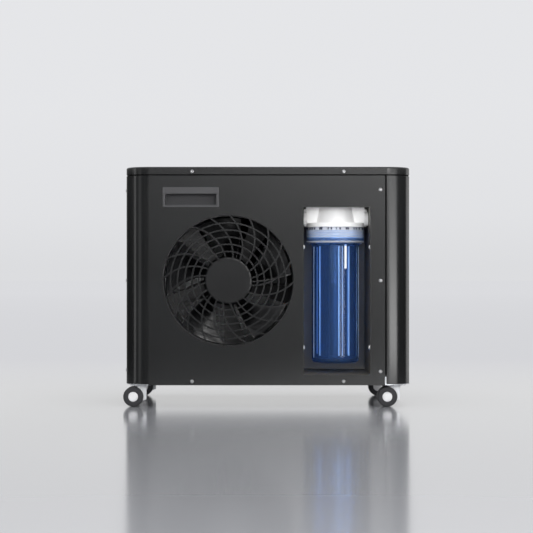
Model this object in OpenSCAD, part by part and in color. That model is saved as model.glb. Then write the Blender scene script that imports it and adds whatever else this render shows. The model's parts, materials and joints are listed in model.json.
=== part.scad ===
/* [Case] */
// Width of the case across its side panels
case_w = 540; // [520:5:620]
// Depth of the case from the front panel to the rear panel
case_d = 380; // [370:5:460]
// Height from the lower edge of the panels to the top of the lid
case_h = 412; // [405:1:480]
// Radius of the four upright corners
corner_r = 45; // [35:1:55]
// Thickness of the sheet steel of panels, lid and liner
sheet_t = 1.2; // [0.8:0.1:1.6]
// Height of the lid's skirt
lid_h = 14; // [12:0.5:20]
// Bend radius along the lid's top edge
lid_bend_r = 3; // [2:0.5:5]
// Shadow gap between the lid and the panels
lid_gap = 2.5; // [1.5:0.5:4]
// Width of the upright seams between neighbouring panels
seam_w = 3; // [1:0.5:5]
// Height of the base tray's upturned edge
pan_h = 16; // [14:1:20]
// Thickness of the base tray
pan_t = 1.5; // [1:0.1:2.5]

/* [Fan] */
// Gap between the left side of the case and the round opening for the fan
fan_side_gap = 71.1; // [66:0.1:90]
// Gap between the round opening and the niche
fan_niche_gap = 18.5; // [16:0.1:40]
// Gap between the lower edge of the panels and the round opening
fan_foot_gap = 73.6; // [66:0.1:90]
// Gap between the round opening and the handle's frame
fan_handle_gap = 14.7; // [12:0.1:40]
// Radius of the grille's plain centre disc
grille_hub_r = 41.5; // [36:0.5:46]
// Number of curved arms of the grille
grille_arms = 20; // [12:1:24]
// Number of rings between the centre disc and the rim
grille_rings = 5; // [3:1:6]
// Width of each grille rib seen from the front
rib_w = 2.9; // [1.6:0.1:3.6]
// Depth of the grille ribs
rib_d = 6; // [4:0.5:8]
// Number of fan blades and of shroud arms
blade_count = 5; // [5:1:5]
// Radius of the fan's hub
fan_hub_r = 47; // [42:0.5:50]
// Depth of the fan's hub along its axis
fan_hub_d = 38; // [34:1:42]
// Thickness of a blade
blade_t = 2.4; // [2:0.2:3.2]
// Gap between the blade tips and the shroud
tip_gap = 3; // [2:0.5:5]
// Radius of the motor
motor_r = 44; // [38:1:46]
// Length of the motor
motor_l = 48; // [40:1:60]
// Radius of the motor's shaft
shaft_r = 4; // [3:0.5:5]

/* [Filter niche] */
// Distance from the right side of the case to the niche's right wall
niche_inset = 77; // [75:1:90]
// Width of the niche
niche_w = 125.6; // [124:0.2:132]
// Height of the niche's floor above the lower edge of the panels
niche_up = 20; // [18:1:26]
// Gap between the top edge of the front panel and the niche opening
niche_open_drop = 59.5; // [56:0.5:66]
// Gap between the top edge of the panels and the inside of the niche liner
niche_top_drop = 35.5; // [30:0.5:40]
// Inside depth of the niche
niche_d = 198; // [180:1:204]

/* [Water filter] */
// Distance from the front panel's face to the filter's axis
filter_back = 85; // [80:1:100]
// Radius of the filter's threaded collar
collar_r = 56; // [54:0.5:58]
// Radius of the sump's straight body
sump_r = 45.2; // [42:0.2:47]
// Wall of the sump
sump_t = 4; // [3:0.2:5]
// Gap between the filter's head and the top of the niche liner
head_gap = 16.9; // [12:0.1:30]
// Height of the collar
collar_h = 30.6; // [28:0.2:33]
// Number of grip ribs on the sump
sump_ribs = 10; // [6:1:16]
// Height of the sump's underside above the niche's floor
sump_clear = 19.2; // [19:0.2:26]
// Height of the filter's white head
head_h = 43; // [41:0.5:45]
// Radius of the filter's side ports
port_r = 13.5; // [12:0.5:15]
// Radius of the slim filter element
element_r = 12; // [10:0.5:16]

/* [Handle] */
// Distance from the left side of the case to the handle's frame
handle_inset = 71.7; // [68:0.5:90]
// Height of the handle's upper edge below the top of the lid
handle_drop = 38.2; // [34:0.2:60]
// Width of the handle's frame
handle_w = 106; // [100:1:110]
// Height of the handle's frame
handle_h = 37.7; // [34:0.5:42]
// Height of the thick band above the finger pocket
handle_band = 12.6; // [10:0.2:15]
// Border of the handle's frame at its sides
handle_side = 4.8; // [3:0.2:6]
// Border of the handle's frame at its lower edge
handle_foot = 3.8; // [3:0.2:6]
// Depth of the finger pocket
handle_d = 30; // [25:1:34]

/* [Casters] */
// Height of the panels' lower edge above the floor
foot_h = 43; // [42:0.5:50]
// Radius of the caster wheels
wheel_r = 19; // [17:0.5:19.5]
// Radius of the round wheel cap
cap_r = 9.3; // [8:0.1:10]
// Width of each of the two wheels of a caster
wheel_w = 10; // [8:0.5:12]
// Distance from a caster's swivel axis to its axle
trail = 14.5; // [13:0.5:16]
// Distance from the side of the case to the swivel axis
caster_inset_x = 28; // [24:0.5:32]
// Distance from the front or rear of the case to the swivel axis
caster_inset_y = 45; // [40:1:60]
// Thickness of the caster's body between its wheels
web_t = 7; // [6:0.5:9]
// Radius of the axle
axle_r = 2.5; // [2:0.25:3.5]

/* [Water connections] */
// Radius of the threaded nipples, 3/4 inch pipe thread
nipple_r = 13.2; // [13:0.1:13.5]
// Length of the threaded nipples
nipple_l = 16; // [14:1:20]
// Radius of the fitting's round collar
fitting_r = 19; // [17:0.5:22]
// Length of the fitting's collar
fitting_l = 12; // [10:1:16]
// Radius of the bore through each nipple
fitting_bore_r = 9; // [7:0.5:10]
// Distance from the right side of the case to the water connections
fitting_inset = 64; // [62:1:70]
// Height of the lower water connection above the lower edge of the panels
fitting_up = 60; // [55:1:80]
// Distance between the two water connections
fitting_step = 62; // [56:1:80]

/* [Cooling circuit] */
// Share of the depth behind the niche that stays free in front of the compressor
comp_front_share = 0.212; // [0.2:0.002:0.3]
// Share of the depth behind the niche that stays free behind the compressor
comp_back_share = 0.168; // [0.15:0.002:0.3]
// Gap between the partition and the compressor's shell
comp_left_gap = 21.3; // [20:0.1:40]
// Gap between the compressor's shell and the plate heat exchanger
comp_right_gap = 7.8; // [7:0.1:20]
// Height of the compressor's shell
comp_h = 176; // [160:1:190]
// Gap between the condenser's end plates and the top edge of the panels
cond_drop = 65.5; // [40:0.5:100]
// Thickness of the condenser
cond_t = 30; // [24:1:36]
// Number of fins drawn on the condenser
cond_fins = 36; // [20:1:40]
// Number of tube rows of the condenser
cond_rows = 8; // [4:1:10]
// Radius of the copper tubes
copper_r = 4; // [3:0.5:5]
// Width of the plate heat exchanger
plate_w = 60; // [54:1:62]
// Thickness of the plate heat exchanger
plate_t = 46; // [36:1:50]
// Height of the filter's ports above the plate heat exchanger
plate_drop = 80.1; // [70:0.1:110]
// Radius of the water pipes
water_r = 9; // [8:0.5:10]

/* [Controls] */
// Width of the temperature controller's bezel
ctrl_w = 78; // [72:1:90]
// Height of the temperature controller's bezel
ctrl_h = 36; // [32:1:44]
// Depth of the temperature controller's case
ctrl_d = 40; // [30:1:46]
// Travel of the push buttons
button_travel = 1; // [0.6:0.1:1.5]
// Angle of the power rocker either side of its middle
rocker_tilt = 9; // [6:1:12]

/* [Hidden] */
$fn = 72;

// Clearances that several pieces share
fit = 0.2;
run_gap = 0.3;
bearing_gap = 0.05;
over = 1;

// Screws
screw_r = 1.75;
screw_head_r = 3.8;
screw_head_h = 2.2;
screw_hole_r = screw_r + fit;
screw_grip = 6;
screw_edge = 8.5;

// Planes of the case, with the case's own middle at x = 0 and y = 0
left_x = -case_w / 2;
right_x = case_w / 2;
front_y = -case_d / 2;
back_y = case_d / 2;
panel_z = foot_h;
lid_top = panel_z + case_h;
panel_top = lid_top - lid_h - lid_gap;
corner_cut = 2;
flange_w = 22;
inner_y = front_y + sheet_t + fit;
front_run = case_w - 2 * corner_r - sheet_t - seam_w;
side_run = case_d - 2 * corner_r - sheet_t - seam_w;
return_w = 12;

// Base tray
pan_z = panel_z + pan_t / 3;
pan_floor = pan_z + pan_t;
pan_top = panel_z + pan_h;
pan_inset = sheet_t + fit;

// Filter niche
niche_x1 = right_x - niche_inset;
niche_x0 = niche_x1 - niche_w;
niche_x = (niche_x0 + niche_x1) / 2;
niche_z = panel_z + niche_up;
niche_open_z = panel_top - niche_open_drop;
niche_open_h = niche_open_z - niche_z;
niche_top = panel_top - niche_top_drop;
niche_h = niche_top - niche_z;
niche_y = inner_y;
niche_back = niche_y + niche_d;
niche_return = 16;
niche_screw_up = 166;
niche_screw_rise = 95;
niche_screw_z = [for (s = [-1, 1]) panel_z + niche_screw_up + s * niche_screw_rise];
niche_screw_y = front_y + niche_return * 0.7;

// Filter
filter_y = front_y + filter_back;
sump_z = niche_z + sump_clear;
head_top = niche_top - head_gap;
head_z = head_top - head_h;
collar_z = head_z - run_gap - collar_h;
sump_h = collar_z - sump_z;
head_rim = 8;
port_rise = 16;
port_reach = niche_w / 2 + sheet_t + port_r;
port_z = head_z + port_rise;
spigot_r = sump_r - sump_t;
spigot_l = 18;
seal_r = 1.3;
sump_floor = 6;
sump_round = 6;
sump_rib_h = 0.6;
lug_h = 0.5;
cage_t = 2;
element_rib_h = 0.6;
element_rib_w = 2;
element_ribs = 11;
tube_r = element_r * 0.6;

// Handle
handle_x = left_x + handle_inset;
handle_z1 = lid_top - handle_drop;
handle_z0 = handle_z1 - handle_h;
handle_wall = 2;
handle_proud = 0.6;
pocket_x0 = handle_x + handle_side;
pocket_x1 = handle_x + handle_w - handle_side;
pocket_z0 = handle_z0 + handle_foot;
pocket_z1 = handle_z1 - handle_band;

// Fan
fan_room_x = [left_x + fan_side_gap, niche_x0 - fan_niche_gap];
fan_room_z = [panel_z + fan_foot_gap, handle_z0 - fan_handle_gap];
fan_open_r = min(fan_room_x[1] - fan_room_x[0], fan_room_z[1] - fan_room_z[0]) / 2;
fan_x = (fan_room_x[0] + fan_room_x[1]) / 2;
fan_z = (fan_room_z[0] + fan_room_z[1]) / 2;
ring_step = (fan_open_r - rib_w / 2 - grille_hub_r) / (grille_rings + 1);
arm_curve_share = 0.6385;
arm_centre_share = 0.679;
arm_angle = -38.2;
grille_flange_w = 7;
grille_flange_t = 1.8;
grille_lip = 0.8;
shroud_t = 2;
shroud_r = fan_open_r - shroud_t;
shroud_y = inner_y + grille_flange_t + fit;
hub_gap = 8;
arm_gap = 6;
fan_y = front_y + rib_d + hub_gap;
arm_y = fan_y + fan_hub_d + arm_gap;
arm_t = 4;
tip_r = shroud_r - tip_gap;
motor_y = arm_y + arm_t;
motor_boss_r = motor_r / 3;
boss_l = arm_t;
motor_screw_share = 0.8;
motor_rib_h = 3;
motor_ribs = 12;
hub_wall = 3;
hub_round = 5;
// Corners of a shroud arm: share of the ring's radius, and angle clockwise from the top
arm_corners_share = [[0.36, 191], [0.36, 170], [1, 164.5], [1, 174], [1, 184]];

// Grid of a blade: angle clockwise from the top at its root and tip, and its place along the axis
blade_rows = 8;
blade_columns = 7;
blade_lead_angles = [209, 184.5];
blade_trail_angles = [235, 227.5];
blade_depth_share = [0.9, 0.72];
blade_camber_share = 0.12;

// Casters
caster_x = case_w / 2 - caster_inset_x;
caster_y = case_d / 2 - caster_inset_y;
plate_side = 38;
caster_plate_t = 2.6;
caster_plate_z = pan_z - caster_plate_t;
swivel_r = 12.5;
swivel_t = 1.6;
swivel_z = caster_plate_z - run_gap - swivel_t;
stem_r = 5;
tyre_edge = 1.2;
wheel_gap = 0.5;
cap_proud = 1;

// Middle of the whole object, which stands at the origin
wheel_overhang = caster_x + trail + wheel_r - case_w / 2;
fitting_out = fitting_l + nipple_l;
case_cx = (wheel_overhang - screw_head_h) / 2;
case_cy = (screw_head_h - fitting_out) / 2;

// Machine room
partition_gap = 6.5;
partition_x = niche_x0 - partition_gap;
mount_h = 14;
mount_r = 8;
mount_pin_r = 4;
mount_cap_r = 6;
foot_t = 3;
foot_angles = [90, 210, 330];
cond_side_gap = 8;
cond_back_gap = 14;
cond_lift = 14;
cond_h = panel_top - cond_drop - pan_floor - 2 * cond_lift;
cond_pitch = cond_h / cond_rows;
hairpin_reach = cond_pitch / 2 + copper_r;
cond_x0 = left_x + cond_side_gap + hairpin_reach;
cond_x1 = partition_x - cond_side_gap / 2 - hairpin_reach;
cond_y = back_y - cond_back_gap - cond_t;
cond_z = pan_floor + cond_lift;
cond_stub = 10;
cond_stub_x = cond_x1 + cond_stub;
cond_pipe_y = cond_y - cond_stub - copper_r;
cond_in_z = cond_z + cond_h - cond_pitch / 2;
cond_out_z = cond_z + cond_pitch / 2;
plate_side_gap = 8;
plate_back_gap = 34;
plate_lift = 24;
plate_rows = 14;
plate_step = plate_t / plate_rows;
tube_wall = 2;
plate_x = right_x - plate_side_gap - plate_w;
plate_y = back_y - plate_back_gap - plate_t;
plate_z = pan_floor + plate_lift;
plate_h = port_z - plate_drop - plate_z;
comp_room_x = [partition_x + comp_left_gap, plate_x - comp_right_gap];
rear_depth = back_y - niche_back;
comp_room_y = [niche_back + comp_front_share * rear_depth, back_y - comp_back_share * rear_depth];
comp_r = min(comp_room_x[1] - comp_room_x[0], comp_room_y[1] - comp_room_y[0]) / 2;
comp_x = (comp_room_x[0] + comp_room_x[1]) / 2;
comp_y = (comp_room_y[0] + comp_room_y[1]) / 2;
comp_z = pan_floor + mount_h;
comp_dome = comp_r * 0.55;
comp_foot_r = comp_r + mount_cap_r + run_gap;
plate_water_x = plate_x + plate_w * 0.63;
plate_gas_x = plate_x + plate_w * 0.23;
plate_port_l = 14;
plate_port_in = 24;
inlet_x = right_x - fitting_inset;
outlet_z = panel_z + fitting_up;
inlet_z = outlet_z + fitting_step;
plate_low_z = plate_z + plate_port_in;
plate_high_z = plate_z + plate_h - plate_port_in;
drier_r = 11;
drier_cone = 14;
drier_gap = 4;
drier_back_share = 0.11;
drier_foot = 26;
drier_room = 24;
drier_x = partition_x + drier_gap + drier_r;
drier_y = niche_back + drier_back_share * rear_depth;
drier_z = cond_out_z + drier_foot;
drier_l = plate_high_z - drier_room - drier_z;
copper_bend = 7;

// Pump, standing in front of the heat exchanger beside the niche
pump_r = 26;
pump_l = 62;
pump_lift = 8;
pump_inset = 44;
pump_back = 12;
pump_head_r = 30;
pump_head_l = 24;
pump_port_r = 12;
pump_inlet_l = 22;
pump_outlet_l = 24;
pump_groove = 2;
pump_grooves = 5;
pump_x = right_x - pump_inset;
pump_y = filter_y + pump_back;
pump_z = pan_floor + pump_r + pump_lift;
pump_top = pump_z + pump_r + pump_outlet_l;
pump_front = pump_y - pump_head_l - pump_inlet_l;

// Water pipes
water_bend = water_r + 0.5 * tube_wall / 2;
pipe_gap = 24;
pipe_drop = 11;
pipe_rise = 21;
left_pipe_y = niche_back + pipe_gap;
suction_y = pump_front - pipe_gap - tube_wall;

// The screws and the row of holes that they share, with three along each upright seam
low_screw_inset = 127;
low_screw_up = 7.2;
lid_screw_drop = 8.8;
seam_screw_up = 26;
seam_screw_drop = 43;
screw_l = 4;
low_screw_x = case_w / 2 - low_screw_inset;
low_screw_z = panel_z + low_screw_up;
lid_screw_z = lid_top - lid_screw_drop;
seam_screw_z0 = panel_z + seam_screw_up;
seam_screw_z1 = lid_top - seam_screw_drop;
seam_screw_z = [seam_screw_z0, (seam_screw_z0 + seam_screw_z1) / 2, seam_screw_z1];

// Air slots of the rear panel
slot_rows = 20;
slot_columns = 5;
slot_side = 10;
slot_h = 6;
slot_pitch_z = (cond_h - slot_side) / slot_rows;
slot_pitch_x = (cond_x1 - cond_x0 - slot_side) / slot_columns;
slot_w = slot_pitch_x - slot_side;

// Drain plug
drain_r = 8;
drain_l = 10;
drain_head_l = 8;
drain_slot_w = 3;
drain_inset = 56;
drain_x = inlet_x - drain_inset;

// Control box on the rear panel
box_side_gap = 12;
box_lead = 2;
box_pipe_gap = 19.6;
box_rise = 44;
box_drop = 24;
box_lip = 3;

// Temperature controller in the right panel
ctrl_back = 128;
ctrl_drop = 30;
ctrl_y = front_y + ctrl_back;
ctrl_z = panel_top - ctrl_drop - ctrl_h;
ctrl_proud = 1.6;
window_w = ctrl_w * 0.46;
window_h = ctrl_h * 0.5;
window_y = ctrl_y + ctrl_w * 0.06;
window_z = ctrl_z + ctrl_h / 4;
button_r = 4.2;
button_proud = 1.4;
button_well = 4;
button_first_share = 0.6;
button_step_share = 0.135;
button_y = [for (i = [0:2]) ctrl_y + ctrl_w * (button_first_share + button_step_share * i)];
button_z = ctrl_z + ctrl_h * 0.36;

// Power socket and switch in the rear panel
socket_w = 28;
socket_h = 24;
socket_d = 22;
socket_well = 18;
socket_inset = 40;
socket_up = 60;
switch_w = 17;
switch_d = 20;
switch_well = 16;
switch_gap = 14;
rim = 2.5;
pivot_r = 1.2;
pivot_in = 6;
rocker_out = 7;
rocker_in = 4;
rocker_dip = 1.6;
socket_x = inlet_x - socket_inset;
socket_z = inlet_z + socket_up;
switch_x = socket_x - switch_w - switch_gap;

// Colours
panel_colour = [0.19, 0.19, 0.2];
dark_plastic = [0.1, 0.1, 0.11];
zinc = [0.72, 0.73, 0.74];
copper = [0.72, 0.42, 0.28];

module in_case() {
    translate([case_cx, case_cy, 0]) children();
}

// Flat shape drawn in x and z, given a thickness along y
module facing(y, t) {
    translate([0, y + t, 0]) rotate([90, 0, 0]) linear_extrude(t) children();
}

module rod_y(p, r, l) {
    translate(p) rotate([-90, 0, 0]) cylinder(r = r, h = l);
}

module rod_x(p, r, l) {
    translate(p) rotate([0, 90, 0]) cylinder(r = r, h = l);
}

module rod_z(p, r, l) {
    translate(p) cylinder(r = r, h = l);
}

module block(p, size) {
    translate(p) cube(size);
}

module quarter_disc(r) {
    intersection() {
        circle(r);
        square(2 * r);
    }
}

module quarter_band(r, t) {
    difference() {
        quarter_disc(r);
        circle(r - t);
    }
}

// Rounded rectangle about the middle of the case
module rounded_plan(w, d, r) {
    translate([-w / 2 + r, -d / 2]) square([w - 2 * r, d]);
    for (s = [0, 1]) mirror([s, 0]) {
        translate([w / 2 - r, -d / 2 + r]) square([r, d - 2 * r]);
        for (v = [0, 1]) mirror([0, v]) translate([w / 2 - r, d / 2 - r]) quarter_disc(r);
    }
}

module plan_inset(gap) {
    rounded_plan(case_w - 2 * gap, case_d - 2 * gap, corner_r - gap);
}

// Places a child at each of the four pinwheel corners: front, right, rear, left
module panel_corner(turn) {
    x = (turn == 1 || turn == 2) ? right_x - corner_r : left_x + corner_r;
    y = (turn == 2 || turn == 3) ? back_y - corner_r : front_y + corner_r;
    translate([x, y, 0]) rotate(90 * turn) children();
}

// Sheet panel that wraps one corner: tucked flange, step, round corner, flat run and folded top edge
module corner_panel(run) {
    flange_z = pan_top + sheet_t;
    step_d = 2 * sheet_t + fit;
    translate([0, 0, panel_z + corner_cut]) linear_extrude(panel_top - panel_z - corner_cut) {
        rotate(180) quarter_band(corner_r, sheet_t);
        translate([-corner_r, 0]) square([sheet_t, sheet_t]);
    }
    translate([-corner_r, 0, flange_z]) linear_extrude(panel_top - 2 * sheet_t - flange_z) {
        square([step_d, sheet_t]);
        translate([sheet_t + fit, 0]) square([sheet_t, sheet_t + flange_w]);
    }
    block([0, -corner_r, panel_z], [run, sheet_t, panel_top - panel_z]);
    block([0, -corner_r, panel_top - sheet_t], [run - flange_w, return_w, sheet_t]);
}

module seam_holes(run) {
    for (z = seam_screw_z)
        rod_y([run - screw_edge, -corner_r - over, z], screw_hole_r, screw_grip);
}

module flange_holes() {
    for (z = seam_screw_z)
        rod_x([-corner_r - over, sheet_t + seam_w + screw_edge, z], screw_hole_r, screw_grip);
}

module base_pan() color(zinc) in_case() {
    difference() {
        translate([0, 0, pan_z]) linear_extrude(pan_top - pan_z) plan_inset(pan_inset);
        translate([0, 0, pan_floor]) linear_extrude(pan_h) plan_inset(pan_inset + pan_t);
        for (x = [-low_screw_x, low_screw_x])
            rod_y([x, front_y - over, low_screw_z], screw_hole_r, case_d + 2 * over);
        // Drain slots
        for (i = [-2:2])
            block([i * case_w / 8 - flange_w, -pan_h, panel_z], [2 * flange_w, return_w / 2, pan_h]);
    }
}

module front_panel() color(panel_colour) in_case() {
    difference() {
        union() {
            panel_corner(0) difference() {
                corner_panel(front_run);
                seam_holes(front_run);
                flange_holes();
            }
            // Folded edges beside the niche
            for (x = [niche_x0 - 2 * sheet_t - fit, niche_x1 + sheet_t + fit])
                block([x, front_y, niche_z], [sheet_t, niche_return, niche_open_h]);
        }
        rod_y([fan_x, front_y - over, fan_z], fan_open_r, 4 * over);
        block([niche_x0, front_y - over, niche_z], [niche_w, 3 * over, niche_open_h]);
        block([handle_x + handle_wall, front_y - over, handle_z0 + handle_wall],
            [handle_w - 2 * handle_wall, 3 * over, handle_h - 2 * handle_wall]);
        for (x = [-low_screw_x, low_screw_x])
            rod_y([x, front_y - over, low_screw_z], screw_hole_r, 3 * over);
        for (z = niche_screw_z)
            rod_x([niche_x0 - flange_w, niche_screw_y, z], screw_hole_r,
                niche_w + 2 * flange_w);
    }
}

module right_panel() color(panel_colour) in_case() {
    difference() {
        panel_corner(1) difference() {
            corner_panel(side_run);
            seam_holes(side_run);
            flange_holes();
        }
        block([right_x - 3 * over, ctrl_y + handle_wall, ctrl_z + handle_wall],
            [4 * over, ctrl_w - 2 * handle_wall, ctrl_h - 2 * handle_wall]);
    }
}

module rear_panel() color(panel_colour) in_case() {
    difference() {
        panel_corner(2) difference() {
            corner_panel(front_run);
            seam_holes(front_run);
            flange_holes();
        }
        for (z = [inlet_z, outlet_z])
            rod_y([inlet_x, back_y - 3 * over, z], nipple_r + fit, 4 * over);
        rod_y([drain_x, back_y - 3 * over, outlet_z], drain_r + fit, 4 * over);
        block([socket_x, back_y - 3 * over, socket_z], [socket_w, 4 * over, socket_h]);
        block([switch_x, back_y - 3 * over, socket_z], [switch_w, 4 * over, socket_h]);
        for (x = [-low_screw_x, low_screw_x])
            rod_y([x, back_y - 2 * over, low_screw_z], screw_hole_r, 3 * over);
        // Air slots in front of the condenser
        for (i = [0:slot_rows - 1], j = [0:slot_columns - 1])
            block([cond_x0 + slot_side + j * slot_pitch_x, back_y - 3 * over,
                cond_z + slot_side + i * slot_pitch_z], [slot_w, 4 * over, slot_h]);
    }
}

module left_panel() color(panel_colour) in_case() {
    panel_corner(3) difference() {
        corner_panel(side_run);
        seam_holes(side_run);
        flange_holes();
    }
}

// Lid's edge: skirt, bend and a short part of the top, drawn outward from the corner's axis
module lid_edge() {
    translate([corner_r - sheet_t, 0]) square([sheet_t, lid_h - lid_bend_r]);
    translate([corner_r - lid_bend_r, lid_h - lid_bend_r]) quarter_band(lid_bend_r, sheet_t);
    translate([0, lid_h - sheet_t]) square([corner_r - lid_bend_r, sheet_t]);
}

module top_lid() color(panel_colour) in_case() {
    w = case_w - 2 * corner_r;
    d = case_d - 2 * corner_r;
    difference() {
        translate([0, 0, lid_top - lid_h]) {
            for (turn = [0:3]) {
                long = turn % 2 == 0;
                rotate(90 * turn) {
                    translate([(long ? w : d) / 2, (long ? d : w) / 2, 0])
                        rotate_extrude(angle = 90) lid_edge();
                    translate([(long ? w : d) / 2, (long ? d : w) / 2, 0])
                        rotate([90, 0, 0]) linear_extrude(long ? d : w) lid_edge();
                }
            }
            block([-w / 2, -d / 2, lid_h - sheet_t], [w, d, sheet_t]);
        }
        for (x = [-low_screw_x, low_screw_x])
            rod_y([x, front_y - over, lid_screw_z], screw_hole_r, case_d + 2 * over);
    }
}

// Frame that the lid is screwed to, standing on the folded top edges of the panels
module top_frame() color(dark_plastic) in_case() {
    gap = sheet_t + fit;
    difference() {
        translate([0, 0, panel_top]) linear_extrude(lid_gap + lid_h - lid_bend_r) plan_inset(gap);
        translate([0, 0, panel_top - over]) linear_extrude(2 * lid_h + lid_gap)
            plan_inset(gap + 1.5 * sheet_t);
        for (x = [-low_screw_x, low_screw_x])
            rod_y([x, front_y - over, lid_screw_z], screw_hole_r, case_d + 2 * over);
    }
}

module partition() color(zinc) in_case() {
    z1 = panel_top - 2 * sheet_t;
    difference() {
        union() {
            block([partition_x, front_y + return_w + over, pan_floor],
                [sheet_t, case_d - 2 * return_w - 2 * over, z1 - pan_floor]);
            block([partition_x, front_y + return_w + over, pan_floor],
                [-partition_x + niche_x0 - sheet_t - fit, sheet_t, sheet_t]);
        }
        // Passages for the water pipe and the copper tubes
        rod_x([partition_x - over, filter_y, port_z], port_r + fit + over, 4 * over);
        rod_x([partition_x - over, left_pipe_y, port_z], water_r + over, 4 * over);
        for (z = [cond_in_z, cond_out_z])
            rod_x([partition_x - over, cond_pipe_y, z], copper_r + over, 4 * over);
    }
}

module handle_insert() color([0.3, 0.3, 0.32]) in_case() {
    difference() {
        union() {
            block([handle_x, front_y - handle_proud, handle_z0],
                [handle_w, handle_proud, handle_h]);
            block([handle_x + handle_wall + fit, front_y, handle_z0 + handle_wall + fit],
                [handle_w - 2 * (handle_wall + fit), handle_d, handle_h - 2 * (handle_wall + fit)]);
        }
        // Mouth of the pocket, and the hollow that rises behind the band for the fingers
        block([pocket_x0, front_y - over, pocket_z0],
            [pocket_x1 - pocket_x0, handle_d - handle_wall + over, pocket_z1 - pocket_z0]);
        block([pocket_x0, front_y + 2 * handle_wall, pocket_z0],
            [pocket_x1 - pocket_x0, handle_d - 3 * handle_wall,
            handle_z1 - pocket_z0 - 2 * handle_wall - fit]);
    }
}

module niche_liner() color(panel_colour) in_case() {
    t = sheet_t;
    difference() {
        block([niche_x0 - t, niche_y, niche_z - t],
            [niche_w + 2 * t, niche_d + t, niche_h + 2 * t]);
        block([niche_x0, niche_y - over, niche_z], [niche_w, niche_d + over, niche_h]);
        rod_x([niche_x0 - 2 * t, filter_y, port_z], port_r + fit, niche_w + 4 * t);
        for (z = niche_screw_z)
            rod_x([niche_x0 - flange_w, niche_screw_y, z], screw_hole_r,
                niche_w + 2 * flange_w);
        for (s = [-1, 1])
            rod_z([niche_x + s * collar_r / 2, filter_y, niche_top - over], screw_hole_r, 4 * over);
    }
}

module ring2d(r_out, r_in) {
    difference() {
        circle(r_out);
        circle(r_in);
    }
}

// One curved arm of the grille, as a band of a circle between the centre disc and the rim
module grille_arm() {
    curve_r = fan_open_r * arm_curve_share;
    centre_r = fan_open_r * arm_centre_share;
    intersection() {
        translate([0, centre_r]) ring2d(curve_r + rib_w / 2, curve_r - rib_w / 2);
        translate([0, -fan_open_r]) square([fan_open_r, 2 * fan_open_r]);
        ring2d(fan_open_r - fit, grille_hub_r - over);
    }
}

module fan_grille() color(panel_colour) in_case() translate([fan_x, 0, fan_z]) {
    difference() {
        facing(front_y, rib_d) {
            circle(grille_hub_r);
            for (i = [1:grille_rings]) ring2d(grille_hub_r + i * ring_step + rib_w / 2,
                grille_hub_r + i * ring_step - rib_w / 2);
            for (i = [0:grille_arms - 1]) rotate(-i * 360 / grille_arms - arm_angle) grille_arm();
        }
        // Room for the flange of the shroud
        facing(shroud_y - fit, rib_d) ring2d(fan_open_r + over, shroud_r - fit);
    }
    facing(inner_y, grille_flange_t) ring2d(fan_open_r + grille_flange_w, fan_open_r - grille_lip);
}

// Moulded ring round the fan, with wedge arms that carry the motor behind the blades
module fan_shroud() color(dark_plastic) in_case() translate([fan_x, 0, fan_z]) {
    facing(shroud_y, shroud_t) ring2d(fan_open_r + grille_flange_w, shroud_r);
    facing(shroud_y + shroud_t, arm_y + arm_t - shroud_y - shroud_t)
        ring2d(shroud_r + shroud_t, shroud_r);
    difference() {
        union() {
            facing(arm_y, arm_t) circle(fan_hub_r);
            for (i = [0:blade_count - 1]) rotate([0, i * 360 / blade_count, 0])
                facing(arm_y, arm_t) polygon([
                    for (p = arm_corners_share) p[0] * (shroud_r + shroud_t / 2)
                        * [sin(p[1]), cos(p[1])]
                ]);
        }
        rod_y([0, arm_y - over, 0], motor_boss_r + fit, arm_t + 2 * over);
        for (i = [0:3]) rotate([0, 45 + 90 * i, 0])
            rod_y([motor_r * motor_screw_share, arm_y - over, 0], screw_hole_r, arm_t + 2 * over);
    }
}

module fan_motor() color([0.35, 0.36, 0.37]) in_case() translate([fan_x, 0, fan_z]) {
    difference() {
        union() {
            rod_y([0, motor_y, 0], motor_r, motor_l);
            rod_y([0, motor_y - boss_l, 0], motor_boss_r, boss_l);
            rod_y([0, motor_y + motor_l, 0], motor_r / 2, boss_l);
            for (i = [1:motor_ribs]) rotate([0, i * 360 / motor_ribs, 0])
                block([-motor_rib_h / 3, motor_y + boss_l, motor_r - over],
                    [motor_rib_h * 2 / 3, motor_l - 2 * boss_l, over + motor_rib_h]);
        }
        rod_y([0, motor_y - boss_l - over, 0], shaft_r + bearing_gap, motor_l * 0.7);
    }
    for (i = [0:3]) rotate([0, 45 + 90 * i, 0]) {
        rod_y([motor_r * motor_screw_share, arm_y, 0], screw_r, arm_t);
        rod_y([motor_r * motor_screw_share, arm_y - screw_head_h, 0], screw_head_r, screw_head_h);
    }
}

function mix(pair, s) = pair[0] + (pair[1] - pair[0]) * s;

function blade_point(s, c, side) =
    let (
        r = mix([fan_hub_r - over, tip_r], s),
        turn = mix([mix(blade_lead_angles, s), mix(blade_trail_angles, s)], c),
        depth = fan_hub_d * mix(blade_depth_share, s),
        y = (0.5 - c) * depth + fan_hub_d * blade_camber_share * 4 * c * (1 - c)
    )
    [r * sin(turn), fan_y + fan_hub_d / 2 + y - blade_t / 2 + side * blade_t, r * cos(turn)];

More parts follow.
